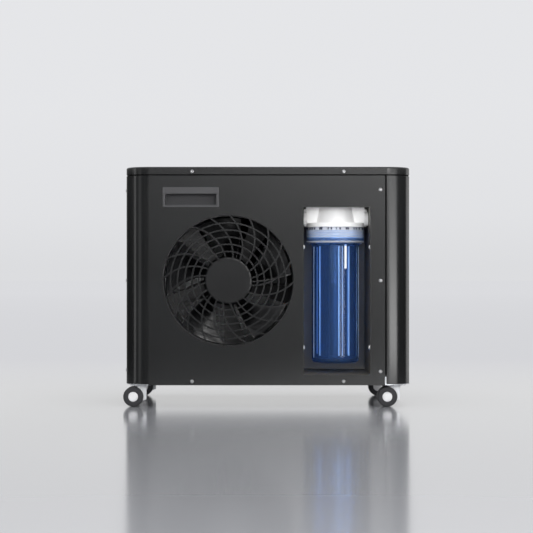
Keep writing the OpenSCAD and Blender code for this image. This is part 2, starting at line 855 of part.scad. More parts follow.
module blade() {
    n = blade_columns + 1;
    m = (blade_rows + 1) * n;
    points = [
        for (side = [0, 1], i = [0:blade_rows], j = [0:blade_columns])
            blade_point(i / blade_rows, j / blade_columns, side)
    ];
    skin = [
        for (i = [0:blade_rows - 1], j = [0:blade_columns - 1], half = [0, 1])
            let (a = i * n + j, b = a + 1, c = a + n, d = c + 1)
            half == 0 ? [a, d, b] : [a, c, d]
    ];
    back = [for (f = skin) [f[2] + m, f[1] + m, f[0] + m]];
    rim = concat(
        [for (j = [0:blade_columns - 1]) j],
        [for (i = [0:blade_rows - 1]) i * n + blade_columns],
        [for (j = [0:blade_columns - 1]) blade_rows * n + blade_columns - j],
        [for (i = [0:blade_rows - 1]) (blade_rows - i) * n]
    );
    count = len(rim);
    edge = [
        for (k = [0:count - 1], half = [0, 1])
            let (p = rim[k], q = rim[(k + 1) % count])
            half == 0 ? [p, q + m, p + m] : [p, q, q + m]
    ];
    polyhedron(points = points, faces = concat(skin, back, edge));
}

module fan() color([0.05, 0.05, 0.055]) in_case() translate([fan_x, 0, fan_z]) {
    wall = hub_wall;
    round_r = hub_round;
    difference() {
        union() {
            translate([0, fan_y, 0]) rotate([-90, 0, 0]) rotate_extrude() {
                square([fan_hub_r - round_r, wall]);
                translate([fan_hub_r - round_r, round_r]) rotate(-90) quarter_disc(round_r);
                translate([0, wall]) square([fan_hub_r - round_r, round_r - wall]);
                translate([fan_hub_r - wall, round_r]) square([wall, fan_hub_d - round_r]);
                square([3 * shaft_r, fan_hub_d]);
            }
            for (i = [0:blade_count - 1]) rotate([0, i * 360 / blade_count, 0]) blade();
        }
        rod_y([0, fan_y - over, 0], shaft_r, fan_hub_d + 2 * over);
    }
}

module fan_shaft() color(zinc) in_case() translate([fan_x, 0, fan_z]) {
    rod_y([0, fan_y - boss_l, 0], shaft_r, boss_l + fan_hub_d + motor_l * 0.6);
    // Clamping nut on the front of the hub
    difference() {
        translate([0, fan_y - shaft_r, 0]) rotate([-90, 0, 0])
            cylinder(r = 2 * shaft_r, h = shaft_r, $fn = 6);
        rod_y([0, fan_y - shaft_r - over, 0], shaft_r, shaft_r + 2 * over);
    }
}

module filter_bracket() color(zinc) in_case() {
    z = head_top + run_gap;
    difference() {
        union() {
            block([niche_x - collar_r * 0.7, filter_y - collar_r / 2, z],
                [1.4 * collar_r, niche_back - filter_y + collar_r / 2, 2 * sheet_t]);
            block([niche_x - collar_r * 0.7, niche_back - 2 * sheet_t, z],
                [1.4 * collar_r, 2 * sheet_t, niche_top - z]);
            for (s = [-1, 1]) block([niche_x + s * collar_r * 0.6 - sheet_t, filter_y, z],
                [2 * sheet_t, niche_back - filter_y, niche_top - z]);
        }
        for (s = [-1, 1], v = [-1, 1])
            rod_z([niche_x + s * collar_r / 3, filter_y + v * collar_r / 3, z - over],
                screw_hole_r, 4 * over);
    }
}

module filter_head() color([0.93, 0.93, 0.92]) in_case() translate([niche_x, filter_y, 0]) {
    block_z = head_z + head_rim;
    block_h = head_h - head_rim - port_r / 3;
    difference() {
        union() {
            rod_z([0, 0, head_z], collar_r, head_rim);
            translate([0, 0, block_z]) cylinder(r1 = collar_r * 0.72, r2 = collar_r * 0.62,
                h = head_h - head_rim);
            block([-collar_r, -port_r * 1.3, block_z], [2 * collar_r, port_r * 2.6, block_h]);
            rod_x([-port_reach, 0, port_z], port_r, 2 * port_reach);
            rod_z([0, 0, head_z - spigot_l], spigot_r - run_gap, spigot_l);
            rod_z([0, 0, head_z - 2 * spigot_l], tube_r, 2 * spigot_l);
        }
        // Seal groove
        translate([0, 0, head_z - spigot_l / 3]) rotate_extrude()
            translate([spigot_r - run_gap - 2 * seal_r, -seal_r - fit / 2])
                square([4 * seal_r, 2 * seal_r + fit]);
        for (s = [-1, 1]) rod_x([s * port_reach - (s < 0 ? over : 2 * port_r), 0, port_z], water_r,
            2 * port_r + over);
        for (s = [-1, 1], v = [-1, 1])
            rod_z([s * collar_r / 3, v * collar_r / 3, head_top - screw_grip], screw_hole_r, 2 * screw_grip);
    }
    for (s = [-1, 1], v = [-1, 1]) {
        rod_z([s * collar_r / 3, v * collar_r / 3, head_top - screw_grip], screw_hole_r,
            screw_grip + 2 * sheet_t + run_gap);
        rod_z([s * collar_r / 3, v * collar_r / 3, head_top + run_gap + 2 * sheet_t], screw_head_r,
            screw_head_h);
    }
}

module sump_seal() color([0.06, 0.06, 0.06]) in_case() translate([niche_x, filter_y, 0]) {
    translate([0, 0, head_z - spigot_l / 3]) rotate_extrude()
        translate([spigot_r - seal_r - run_gap / 2 - fit / 2, 0]) circle(seal_r);
}

module filter_sump() color([0.25, 0.42, 0.8, 0.6]) in_case() translate([niche_x, filter_y, 0]) {
    bore = sump_r - sump_t;
    top = collar_z + collar_h;
    bevel = collar_r - sump_r - sump_t / 2;
    difference() {
        union() {
            rotate_extrude() polygon([
                [0, sump_z],
                [sump_r - sump_round, sump_z],
                for (a = [15:15:75]) [
                    sump_r - sump_round + sump_round * sin(a),
                    sump_z + sump_round - sump_round * cos(a)
                ],
                [sump_r, sump_z + sump_round],
                [sump_r, collar_z - bevel / 2],
                [collar_r - bevel / 2, collar_z],
                [collar_r, collar_z + bevel / 3],
                [collar_r, top],
                [0, top]
            ]);
            for (i = [0:sump_ribs - 1]) rotate(6.8 + i * 360 / sump_ribs)
                block([sump_r - over, -over, sump_z + 2 * sump_round],
                    [over + sump_rib_h, 2 * over, sump_h - 2 * sump_round]);
            // Grip lugs round the collar
            for (i = [0:2 * sump_ribs - 1]) rotate(i * 180 / sump_ribs)
                block([collar_r - over, -over, collar_z + bevel / 2],
                    [over + lug_h, 2 * over, collar_h * 0.6]);
        }
        rod_z([0, 0, sump_z + sump_floor], bore, sump_h + collar_h);
    }
    // Locating ring for the element
    difference() {
        rod_z([0, 0, sump_z + sump_floor], element_r + run_gap + cage_t, sump_floor);
        rod_z([0, 0, sump_z + sump_floor - over], element_r + run_gap, sump_floor + 2 * over);
    }
}

module filter_element() color([0.35, 0.5, 0.85, 0.7]) in_case() translate([niche_x, filter_y, 0]) {
    z0 = sump_z + sump_floor + run_gap;
    z1 = head_z - spigot_l * 1.2;
    difference() {
        union() {
            rod_z([0, 0, z0], element_r, z1 - z0);
            for (i = [1:element_ribs])
                rod_z([0, 0, z0 + i * (z1 - z0) / (element_ribs + 1)], element_r + element_rib_h,
                    element_rib_w);
        }
        rod_z([0, 0, z0 + sump_floor], tube_r + run_gap, z1);
    }
}

// Condenser: finned block between two end plates, with copper hairpins at both ends
module condenser_fins() color([0.62, 0.63, 0.64]) in_case() {
    pitch = (cond_x1 - cond_x0) / cond_fins;
    translate([0, 0, cond_z]) linear_extrude(cond_h) difference() {
        translate([cond_x0, cond_y]) square([cond_x1 - cond_x0, cond_t]);
        for (i = [0:cond_fins - 1], y = [cond_y - over, cond_y + cond_t - cond_t / 4])
            translate([cond_x0 + (i + 0.3) * pitch, y]) square([pitch * 0.6, cond_t / 4 + over]);
    }
    for (x = [cond_x0, cond_x1 - 2 * sheet_t])
        block([x, cond_y, pan_floor], [2 * sheet_t, cond_t, cond_h + 2 * (cond_z - pan_floor)]);
}

module condenser_tubes() color(copper) in_case() {
    y = cond_y + cond_t / 2;
    for (i = [1:cond_rows - 1]) {
        left = i % 2 == 1;
        translate([left ? cond_x0 : cond_x1, y, cond_z + i * cond_pitch]) rotate([90, 0, 0])
            rotate(left ? 90 : -90) rotate_extrude(angle = 180)
                translate([cond_pitch / 2, 0]) circle(copper_r);
    }
    for (z = [cond_in_z, cond_out_z])
        pipe([[cond_x1, y, z], [cond_stub_x, y, z], [cond_stub_x, cond_y, z]], copper_r,
            2 * copper_r);
}

// Round pipe along points that turn at right angles
module pipe(points, r, bend) {
    last = len(points) - 1;
    for (i = [0:last - 1]) {
        a = points[i];
        b = points[i + 1];
        d = (b - a) / norm(b - a);
        cut_a = i == 0 ? 0 : bend;
        cut_b = i == last - 1 ? 0 : bend;
        translate(a + d * cut_a) rotate([0, acos(d[2]), atan2(d[1], d[0])])
            cylinder(r = r, h = norm(b - a) - cut_a - cut_b);
    }
    for (i = [1:1:last - 1]) {
        a = (points[i] - points[i - 1]) / norm(points[i] - points[i - 1]);
        b = (points[i + 1] - points[i]) / norm(points[i + 1] - points[i]);
        c = points[i] + bend * (b - a);
        n = cross(a, b);
        multmatrix([
            [-b[0], a[0], n[0], c[0]],
            [-b[1], a[1], n[1], c[1]],
            [-b[2], a[2], n[2], c[2]],
            [0, 0, 0, 1]
        ]) rotate_extrude(angle = 90) translate([bend, 0]) circle(r);
    }
}

module compressor() color([0.08, 0.08, 0.09]) in_case() translate([comp_x, comp_y, comp_z]) {
    rotate_extrude() polygon([
        [0, 0],
        for (a = [0:15:75]) [comp_r * (0.5 + 0.5 * sin(a)), comp_dome * 0.4 * (1 - cos(a))],
        [comp_r, comp_dome * 0.4],
        [comp_r, comp_h - comp_dome],
        for (a = [15:15:75]) [comp_r * cos(a), comp_h - comp_dome + comp_dome * sin(a)],
        [0, comp_h]
    ]);
    // Foot plate
    difference() {
        linear_extrude(foot_t) for (a = foot_angles) rotate(a)
            translate([0, -comp_r / 4]) square([comp_foot_r + mount_r, comp_r / 2]);
        for (a = foot_angles) rotate(a)
            rod_z([comp_foot_r, 0, -over], mount_pin_r, foot_t + 2 * over);
    }
    block([-comp_r / 3, -comp_r - comp_r / 6, comp_h * 0.45], [comp_r * 2 / 3, comp_r / 4, comp_h / 4]);
}

module compressor_mounts() color([0.1, 0.1, 0.1]) in_case() translate([comp_x, comp_y, 0]) {
    for (a = foot_angles) rotate(a) translate([comp_foot_r, 0, 0]) {
        rod_z([0, 0, pan_floor], mount_r, mount_h);
        rod_z([0, 0, comp_z], mount_pin_r, foot_t);
        rod_z([0, 0, comp_z + foot_t], mount_cap_r, foot_t);
    }
}

module heat_exchanger() color([0.7, 0.71, 0.72]) in_case() {
    step = plate_step;
    difference() {
        block([plate_x, plate_y, plate_z], [plate_w, plate_t, plate_h]);
        // Gaps between the plates' rims
        for (i = [1:plate_rows - 1], x = [plate_x - step, plate_x + plate_w - step / 2])
            block([x, plate_y + (i - 0.25) * step, plate_z - over],
                [1.5 * step, step / 2, plate_h + 2 * over]);
    }
    for (z = [plate_low_z, plate_high_z])
        rod_y([plate_gas_x, plate_y - plate_port_l, z], copper_r + tube_wall, plate_port_l);
    rod_y([plate_water_x, plate_y - plate_port_l, plate_high_z], water_r + tube_wall, plate_port_l);
    rod_y([inlet_x, plate_y + plate_t, outlet_z], water_r + tube_wall,
        back_y - fitting_l - plate_y - plate_t);
    // Stand
    block([plate_x + step, plate_y + step, pan_floor],
        [plate_w - 2 * step, plate_t - 2 * step, plate_lift]);
}

module drier() color(copper) in_case() translate([drier_x, drier_y, drier_z]) {
    for (end = [0, 1]) translate([0, 0, end * drier_l]) mirror([0, 0, end])
        cylinder(r1 = copper_r + tube_wall / 2, r2 = drier_r, h = drier_cone);
    rod_z([0, 0, drier_cone], drier_r, drier_l - 2 * drier_cone);
}

module refrigerant_lines() color(copper) in_case() {
    bend = copper_bend;
    // Compressor to condenser
    pipe([[comp_x, comp_y, comp_z + comp_h], [comp_x, comp_y, cond_in_z],
        [comp_x, cond_pipe_y, cond_in_z], [cond_stub_x, cond_pipe_y, cond_in_z],
        [cond_stub_x, cond_y, cond_in_z]], copper_r, bend);
    // Condenser to drier
    pipe([[cond_stub_x, cond_y, cond_out_z], [cond_stub_x, cond_pipe_y, cond_out_z],
        [drier_x, cond_pipe_y, cond_out_z],
        [drier_x, drier_y, cond_out_z], [drier_x, drier_y, drier_z]], copper_r, bend);
    // Drier to heat exchanger
    pipe([[drier_x, drier_y, drier_z + drier_l], [drier_x, drier_y, plate_high_z],
        [plate_gas_x, drier_y, plate_high_z],
        [plate_gas_x, plate_y - plate_port_l, plate_high_z]], copper_r, bend);
    // Heat exchanger back to the compressor
    pipe([[plate_gas_x, plate_y - plate_port_l, plate_low_z], [plate_gas_x, drier_y, plate_low_z],
        [comp_x, drier_y, plate_low_z], [comp_x, comp_y - comp_r, plate_low_z]], copper_r, bend);
}

module water_pump() color([0.12, 0.12, 0.13]) in_case() translate([pump_x, pump_y, pump_z]) {
    difference() {
        union() {
            rod_y([0, 0, 0], pump_r, pump_l);
            rod_y([0, -pump_head_l, 0], pump_head_r, pump_head_l);
            rod_y([0, pump_front - pump_y, 0], pump_port_r, pump_inlet_l);
            rod_z([0, filter_y - pump_y, 0], pump_port_r, pump_top - pump_z);
            block([-pump_r, 0, pan_floor - pump_z], [2 * pump_r, pump_l, pump_port_r]);
        }
        // Cooling grooves round the motor
        for (i = [1:pump_grooves]) translate([0, i * pump_l / (pump_grooves + 1), 0]) difference() {
            rod_y([0, 0, 0], pump_r + over, pump_groove);
            rod_y([0, -over, 0], pump_r - pump_groove, pump_groove + 2 * over);
        }
    }
}

module water_lines() color([0.82, 0.83, 0.84]) in_case() {
    bend = water_bend;
    x0 = niche_x - port_reach;
    x1 = niche_x + port_reach;
    high_z = plate_z + plate_h + pipe_rise;
    pipe_y = back_y - fitting_l - pipe_drop;
    // Lower connection of the pump: from the inlet over the machine room to the front
    pipe([[inlet_x, back_y - fitting_l, inlet_z], [inlet_x, pipe_y, inlet_z],
        [inlet_x, pipe_y, high_z], [inlet_x, suction_y, high_z],
        [inlet_x, suction_y, pump_z], [pump_x, suction_y, pump_z], [pump_x, pump_front, pump_z]],
        water_r, bend);
    // Pump up to the right port of the filter
    pipe([[pump_x, filter_y, pump_top], [pump_x, filter_y, port_z], [x1, filter_y, port_z]],
        water_r, bend);
    // Left port round the back of the niche to the heat exchanger
    pipe([[x0, filter_y, port_z], [x0 - pipe_gap, filter_y, port_z],
        [x0 - pipe_gap, left_pipe_y, port_z],
        [plate_water_x, left_pipe_y, port_z], [plate_water_x, left_pipe_y, plate_high_z],
        [plate_water_x, plate_y - plate_port_l, plate_high_z]], water_r, bend);
}

module fitting(z) {
    difference() {
        union() {
            rod_y([inlet_x, back_y, z], fitting_r, fitting_l);
            rod_y([inlet_x, back_y + fitting_l, z], nipple_r, nipple_l);
            rod_y([inlet_x, back_y - fitting_l, z], nipple_r, fitting_l);
        }
        rod_y([inlet_x, back_y, z], fitting_bore_r, fitting_out + over);
        // Two flats for a spanner
        for (s = [-1, 1])
            block([inlet_x + (s < 0 ? -2 * fitting_r : fitting_r * 0.88), back_y + fitting_l / 3,
                z - fitting_r], [fitting_r * 1.12, fitting_l, 2 * fitting_r]);
    }
}

module inlet_fitting() color(dark_plastic) in_case() {
    fitting(inlet_z);
}

module outlet_fitting() color(dark_plastic) in_case() {
    fitting(outlet_z);
}

module drain_plug() color(dark_plastic) in_case() {
    difference() {
        union() {
            rod_y([drain_x, back_y, outlet_z], drain_r * 1.5, drain_head_l);
            rod_y([drain_x, back_y - drain_l, outlet_z], drain_r, drain_l);
        }
        block([drain_x - drain_r, back_y + drain_head_l - drain_slot_w, outlet_z - drain_slot_w / 2],
            [2 * drain_r, drain_head_l, drain_slot_w]);
    }
}

module control_box() color([0.2, 0.2, 0.21]) in_case() {
    x = plate_x + box_lead;
    y = left_pipe_y + water_r + box_pipe_gap;
    z = plate_z + plate_h + box_rise;
    w = right_x - box_side_gap - x;
    d = plate_y + plate_t - y;
    h = panel_top - z - box_drop;
    block([x, y, z], [w, d, h]);
    block([x - box_lip, y - box_lip, z + h], [w + box_lip, d + box_lip, box_lip]);
    // Bracket on the rear panel
    block([x, y + d, z], [right_x - corner_r - x, back_y - sheet_t - fit - y - d, h]);
}

module controller() color([0.09, 0.09, 0.1]) in_case() {
    difference() {
        union() {
            block([right_x, ctrl_y, ctrl_z], [ctrl_proud, ctrl_w, ctrl_h]);
            block([right_x - ctrl_d, ctrl_y + handle_wall + fit, ctrl_z + handle_wall + fit],
                [ctrl_d, ctrl_w - 2 * (handle_wall + fit), ctrl_h - 2 * (handle_wall + fit)]);
        }
        block([right_x + ctrl_proud / 2, window_y, window_z], [ctrl_proud, window_w, window_h]);
        for (y = button_y)
            rod_x([right_x - button_well, y, button_z], button_r + run_gap, 2 * button_well);
    }
}

module display_window() color([0.03, 0.03, 0.04]) in_case() {
    block([right_x + ctrl_proud / 2, window_y, window_z], [ctrl_proud / 2, window_w, window_h]);
}

module push_button(i) {
    stop = right_x - button_well + button_travel + run_gap;
    rod_x([stop, button_y[i], button_z], button_r, right_x + ctrl_proud + button_proud - stop);
}

module button_set() color([0.25, 0.25, 0.26]) in_case() {
    push_button(0);
}

module button_up() color([0.25, 0.25, 0.26]) in_case() {
    push_button(1);
}

module button_down() color([0.25, 0.25, 0.26]) in_case() {
    push_button(2);
}

module power_inlet() color(dark_plastic) in_case() {
    difference() {
        union() {
            block([socket_x - rim, back_y, socket_z - rim], [socket_w + 2 * rim, rim, socket_h + 2 * rim]);
            block([socket_x + fit, back_y - socket_d, socket_z + fit],
                [socket_w - 2 * fit, socket_d, socket_h - 2 * fit]);
        }
        // Well round the middle block of the socket
        difference() {
            block([socket_x + rim, back_y - socket_well, socket_z + rim],
                [socket_w - 2 * rim, socket_well + 2 * rim, socket_h - 2 * rim]);
            block([socket_x + 2.4 * rim, back_y - socket_d, socket_z + 2.4 * rim],
                [socket_w - 4.8 * rim, socket_d, socket_h - 4.8 * rim]);
        }
    }
}

module switch_frame() color(dark_plastic) in_case() {
    x = switch_x;
    difference() {
        union() {
            block([x - rim, back_y, socket_z - rim], [switch_w + 2 * rim, rim, socket_h + 2 * rim]);
            block([x + fit, back_y - switch_d, socket_z + fit],
                [switch_w - 2 * fit, switch_d, socket_h - 2 * fit]);
        }
        block([x + rim / 2, back_y - switch_well, socket_z + rim / 2],
            [switch_w - rim, switch_well + 2 * rim, socket_h - rim]);
    }
    // Pivot pin of the rocker
    rod_x([x + rim / 2, back_y - pivot_in, socket_z + socket_h / 2], pivot_r, switch_w - rim);
}

module power_rocker() color([0.02, 0.02, 0.02]) in_case() {
    half = socket_h / 2 - rim / 2 - 2 * rocker_dip * sin(rocker_tilt) - 4 * run_gap;
    w = switch_w - rim - 2 * run_gap;
    translate([switch_x + switch_w / 2, back_y - pivot_in, socket_z + socket_h / 2])
        rotate([-rocker_tilt, 0, 0]) difference() {
            translate([-w / 2, 0, 0]) rotate([90, 0, 90]) linear_extrude(w) polygon([
                [-rocker_in, -half * 0.5],
                [rocker_out - rocker_dip, -half],
                [rocker_out, -half],
                [rocker_out - rocker_dip, 0],
                [rocker_out, half],
                [rocker_out - rocker_dip, half],
                [-rocker_in, half * 0.5]
            ]);
            rod_x([-w, 0, 0], pivot_r + bearing_gap, 2 * w);
        }
}

// Pan head screw that points along -z, with its seat at z = 0
module pan_screw(grip) {
    cylinder(r = screw_head_r, h = screw_head_h / 2);
    translate([0, 0, screw_head_h / 2])
        cylinder(r1 = screw_head_r, r2 = screw_head_r * 0.6, h = screw_head_h / 2);
    translate([0, 0, -grip]) cylinder(r = screw_r, h = grip);
}

module lid_screws() color(zinc) in_case() {
    for (turn = [0, 180], x = [-low_screw_x, low_screw_x]) rotate(turn)
        translate([x, front_y, lid_screw_z]) rotate([90, 0, 0]) pan_screw(screw_l);
}

module panel_screws() color(zinc) in_case() {
    for (turn = [0, 180], x = [-low_screw_x, low_screw_x]) rotate(turn)
        translate([x, front_y, low_screw_z]) rotate([90, 0, 0]) pan_screw(screw_l);
    for (turn = [0:3], z = seam_screw_z) panel_corner(turn)
        translate([(turn % 2 == 0 ? front_run : side_run) - screw_edge, -corner_r, z])
            rotate([90, 0, 0]) pan_screw(screw_l);
}

module niche_screws() color(zinc) in_case() {
    for (z = niche_screw_z) {
        translate([niche_x0, niche_screw_y, z]) rotate([0, 90, 0]) pan_screw(screw_l);
        translate([niche_x1, niche_screw_y, z]) rotate([0, -90, 0]) pan_screw(screw_l);
    }
}

// Corner of the case where a caster stands: side and end are -1 or 1
module caster_place(side, end) {
    translate([side * caster_x, end * caster_y, 0]) children();
}

module caster_plates() color(zinc) in_case() {
    for (side = [-1, 1], end = [-1, 1]) caster_place(side, end) {
        difference() {
            block([-plate_side / 2, -plate_side / 2, caster_plate_z],
                [plate_side, plate_side, caster_plate_t]);
            rod_z([0, 0, caster_plate_z - over], stem_r + bearing_gap, caster_plate_t + 2 * over);
        }
    }
}

module caster_fork() {
    half = web_t / 2;
    difference() {
        union() {
            translate([0, half, 0]) rotate([90, 0, 0]) linear_extrude(web_t) polygon([
                [-trail - wheel_r * 0.35, wheel_r * 0.75],
                [-trail - wheel_r * 0.2, wheel_r * 1.4],
                [-stem_r, swivel_z],
                [stem_r * 2, swivel_z],
                [stem_r * 2, wheel_r * 0.7],
                [stem_r, wheel_r * 0.6],
                [-trail, wheel_r * 0.55]
            ]);
            rod_z([0, 0, swivel_z - over], swivel_r - over, over);
            rod_z([0, 0, swivel_z], swivel_r, swivel_t);
            rod_z([0, 0, swivel_z + swivel_t], stem_r, caster_plate_t);
        }
        rod_y([-trail, -half - over, wheel_r], axle_r + bearing_gap, web_t + 2 * over);
    }
}

module caster_hubs() {
    y0 = web_t / 2 + wheel_gap;
    translate([-trail, 0, wheel_r]) {
        rod_y([0, -y0, 0], axle_r, 2 * y0);
        for (s = [0, 1]) mirror([0, s, 0]) {
            rod_y([0, y0, 0], cap_r, wheel_w);
            translate([0, y0 + wheel_w, 0]) rotate([-90, 0, 0])
                cylinder(r1 = cap_r, r2 = cap_r * 0.75, h = cap_proud);
        }
    }
}

module caster_tyres() {
    y0 = web_t / 2 + wheel_gap;
    translate([-trail, 0, wheel_r]) for (s = [0, 1]) mirror([0, s, 0])
        translate([0, y0, 0]) rotate([-90, 0, 0]) rotate_extrude() polygon([
            [cap_r, 0],
            [wheel_r - tyre_edge, 0],
            [wheel_r, tyre_edge],
            [wheel_r, wheel_w - tyre_edge],
            [wheel_r - tyre_edge, wheel_w],
            [cap_r, wheel_w]
        ]);
}

module caster_fork_front_left() color(zinc) in_case() caster_place(-1, -1) caster_fork();

module caster_fork_front_right() color(zinc) in_case() caster_place(1, -1) caster_fork();

module caster_fork_rear_left() color(zinc) in_case() caster_place(-1, 1) caster_fork();

module caster_fork_rear_right() color(zinc) in_case() caster_place(1, 1) caster_fork();

module caster_hubs_front_left() color("white") in_case() caster_place(-1, -1) caster_hubs();

module caster_hubs_front_right() color("white") in_case() caster_place(1, -1) caster_hubs();

module caster_hubs_rear_left() color("white") in_case() caster_place(-1, 1) caster_hubs();

module caster_hubs_rear_right() color("white") in_case() caster_place(1, 1) caster_hubs();

module caster_tyres_front_left() color([0.35, 0.35, 0.37]) in_case() caster_place(-1, -1) caster_tyres();

module caster_tyres_front_right() color([0.35, 0.35, 0.37]) in_case() caster_place(1, -1) caster_tyres();

module caster_tyres_rear_left() color([0.35, 0.35, 0.37]) in_case() caster_place(-1, 1) caster_tyres();

module caster_tyres_rear_right() color([0.35, 0.35, 0.37]) in_case() caster_place(1, 1) caster_tyres();

base_pan();
front_panel();
right_panel();
rear_panel();
left_panel();
top_lid();
top_frame();
partition();
handle_insert();
niche_liner();
fan_grille();
fan_shroud();
fan_motor();
fan();
fan_shaft();
filter_bracket();
filter_head();
sump_seal();
filter_sump();
filter_element();
condenser_fins();
condenser_tubes();
compressor();
compressor_mounts();
heat_exchanger();
drier();
refrigerant_lines();
water_pump();
water_lines();
inlet_fitting();
outlet_fitting();
drain_plug();
control_box();
controller();
display_window();
button_set();
button_up();
button_down();
power_inlet();
switch_frame();
power_rocker();
lid_screws();
panel_screws();
niche_screws();
caster_plates();
caster_fork_front_left();
caster_hubs_front_left();
caster_tyres_front_left();
caster_fork_front_right();
caster_hubs_front_right();
caster_tyres_front_right();
caster_fork_rear_left();
caster_hubs_rear_left();
caster_tyres_rear_left();
caster_fork_rear_right();
caster_hubs_rear_right();
caster_tyres_rear_right();
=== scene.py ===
import json
import math

import bmesh
import bpy
from mathutils import Matrix, Vector


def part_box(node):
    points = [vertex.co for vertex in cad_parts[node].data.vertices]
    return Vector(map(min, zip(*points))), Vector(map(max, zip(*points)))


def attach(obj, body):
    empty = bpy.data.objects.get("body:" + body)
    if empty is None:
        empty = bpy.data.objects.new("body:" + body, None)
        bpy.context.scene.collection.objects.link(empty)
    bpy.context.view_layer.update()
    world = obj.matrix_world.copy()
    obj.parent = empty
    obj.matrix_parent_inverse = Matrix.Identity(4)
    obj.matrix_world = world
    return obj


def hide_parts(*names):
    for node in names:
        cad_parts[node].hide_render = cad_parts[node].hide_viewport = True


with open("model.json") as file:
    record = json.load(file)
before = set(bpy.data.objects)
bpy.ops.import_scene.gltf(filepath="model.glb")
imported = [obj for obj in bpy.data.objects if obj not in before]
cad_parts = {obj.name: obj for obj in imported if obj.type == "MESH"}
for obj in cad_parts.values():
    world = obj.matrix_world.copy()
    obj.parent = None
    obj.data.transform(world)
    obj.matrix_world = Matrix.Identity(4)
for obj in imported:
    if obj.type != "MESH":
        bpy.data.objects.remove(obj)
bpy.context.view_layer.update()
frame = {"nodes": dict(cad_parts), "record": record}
nodes = frame["nodes"]

MM = 0.001
CASE = "case"

record = frame["record"]
body_of = {node: body for body, names in record["behaviour"]["bodies"].items() for node in names}

# Sizes in millimetres in the case's own frame: x to the right, y to the back, z up

CASE_SHIFT = Vector((1.65, -12.9, 0))
FRONT, BACK = -190, 190
LEFT, RIGHT = -270, 270
NICHE_LEFT, NICHE_RIGHT = 67.4, 193
FILTER_X, FILTER_Y = 130.2, -105
PORT_Z = 359.1


def place(x, y, z):
    """A point of the case, in the shared frame."""
    return (Vector((x, y, z)) + CASE_SHIFT) * MM


def scaled(points):
    """Points of an outline, from millimetres to metres."""
    return [(r * MM, z * MM) for r, z in points]


panel_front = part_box("front_panel")[0].y
fan_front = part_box("fan")[0].y
grille_low, grille_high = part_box("fan_grille")
fan_axis = Vector(((grille_low.x + grille_high.x) / 2, 0, (grille_low.z + grille_high.z) / 2))
sump_low, sump_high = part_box("filter_sump")
filter_axis = place(FILTER_X, FILTER_Y, 0)


# Shader nodes

def new_material(name):
    material = bpy.data.materials.new(name)
    material.use_nodes = True
    tree = material.node_tree
    return material, tree, tree.nodes["Principled BSDF"]


def object_coords(tree):
    return tree.nodes.new("ShaderNodeTexCoord").outputs["Object"]


def axes(tree, vector):
    """The X, Y and Z of a vector."""
    node = tree.nodes.new("ShaderNodeSeparateXYZ")
    tree.links.new(vector, node.inputs["Vector"])
    return node.outputs


def object_noise(tree, scale, detail, stretch=(1, 1, 1)):
    """Noise on the piece's own coordinates, stretched along one axis where the grain runs."""
    mapping = tree.nodes.new("ShaderNodeMapping")
    mapping.inputs["Scale"].default_value = stretch
    tree.links.new(object_coords(tree), mapping.inputs["Vector"])
    noise = tree.nodes.new("ShaderNodeTexNoise")
    noise.inputs["Scale"].default_value = scale
    noise.inputs["Detail"].default_value = detail
    tree.links.new(mapping.outputs["Vector"], noise.inputs["Vector"])
    return noise.outputs["Fac"]


def colour_stops(tree, fac, stops):
    """Colours along a factor, from pairs of a position and a colour."""
    node = tree.nodes.new("ShaderNodeValToRGB")
    elements = node.color_ramp.elements
    for number, (position, colour) in enumerate(stops):
        stop = elements[number] if number < 2 else elements.new(position)
        stop.position = position
        stop.color = (*colour, 1)
    tree.links.new(fac, node.inputs["Fac"])
    return node.outputs["Color"]


def two_tone(tree, fac, tone, darker, lighter):
    """A tone that runs between a darker and a lighter shade of itself."""
    low = [c * darker for c in tone]
    high = [min(1.0, c * lighter) for c in tone]
    return colour_stops(tree, fac, ((0.35, low), (0.65, high)))


def spread(tree, value, low, high, start=0.3, end=0.7):
    """Low to high as the value goes from start to end."""
    node = tree.nodes.new("ShaderNodeMapRange")
    node.inputs["From Min"].default_value = start
    node.inputs["From Max"].default_value = end
    node.inputs["To Min"].default_value = low
    node.inputs["To Max"].default_value = high
    tree.links.new(value, node.inputs["Value"])
    return node.outputs["Result"]


def between(tree, value, start, end):
    """Nought to one as the value goes from start to end."""
    return spread(tree, value, 0.0, 1.0, start, end)


def reckoned(tree, operation, first, second):
    """Arithmetic on two values, each a socket or a decimal number."""
    node = tree.nodes.new("ShaderNodeMath")
    node.operation = operation
    for socket, value in zip(node.inputs, (first, second)):
        if isinstance(value, float):
            socket.default_value = value
        else:
            tree.links.new(value, socket)
    return node.outputs["Value"]


def mixed(tree, fac, first, second):
    node = tree.nodes.new("ShaderNodeMixShader")
    tree.links.new(fac, node.inputs["Fac"])
    tree.links.new(first, node.inputs[1])
    tree.links.new(second, node.inputs[2])
    return node.outputs["Shader"]


def bump(tree, shader, height, strength, distance):
    node = tree.nodes.new("ShaderNodeBump")
    node.inputs["Strength"].default_value = strength
    node.inputs["Distance"].default_value = distance
    tree.links.new(height, node.inputs["Height"])
    tree.links.new(node.outputs["Normal"], shader.inputs["Normal"])


# Finishes

PEEL_SCALE, PEEL_DEPTH = 1400.0, 0.04 * MM
GRIT_SCALE, GRIT_DEPTH = 900.0, 0.03 * MM
POLISHED = 0.01 * MM
LINES_DEPTH = 0.03 * MM
DUST_DEPTH = 0.05 * MM


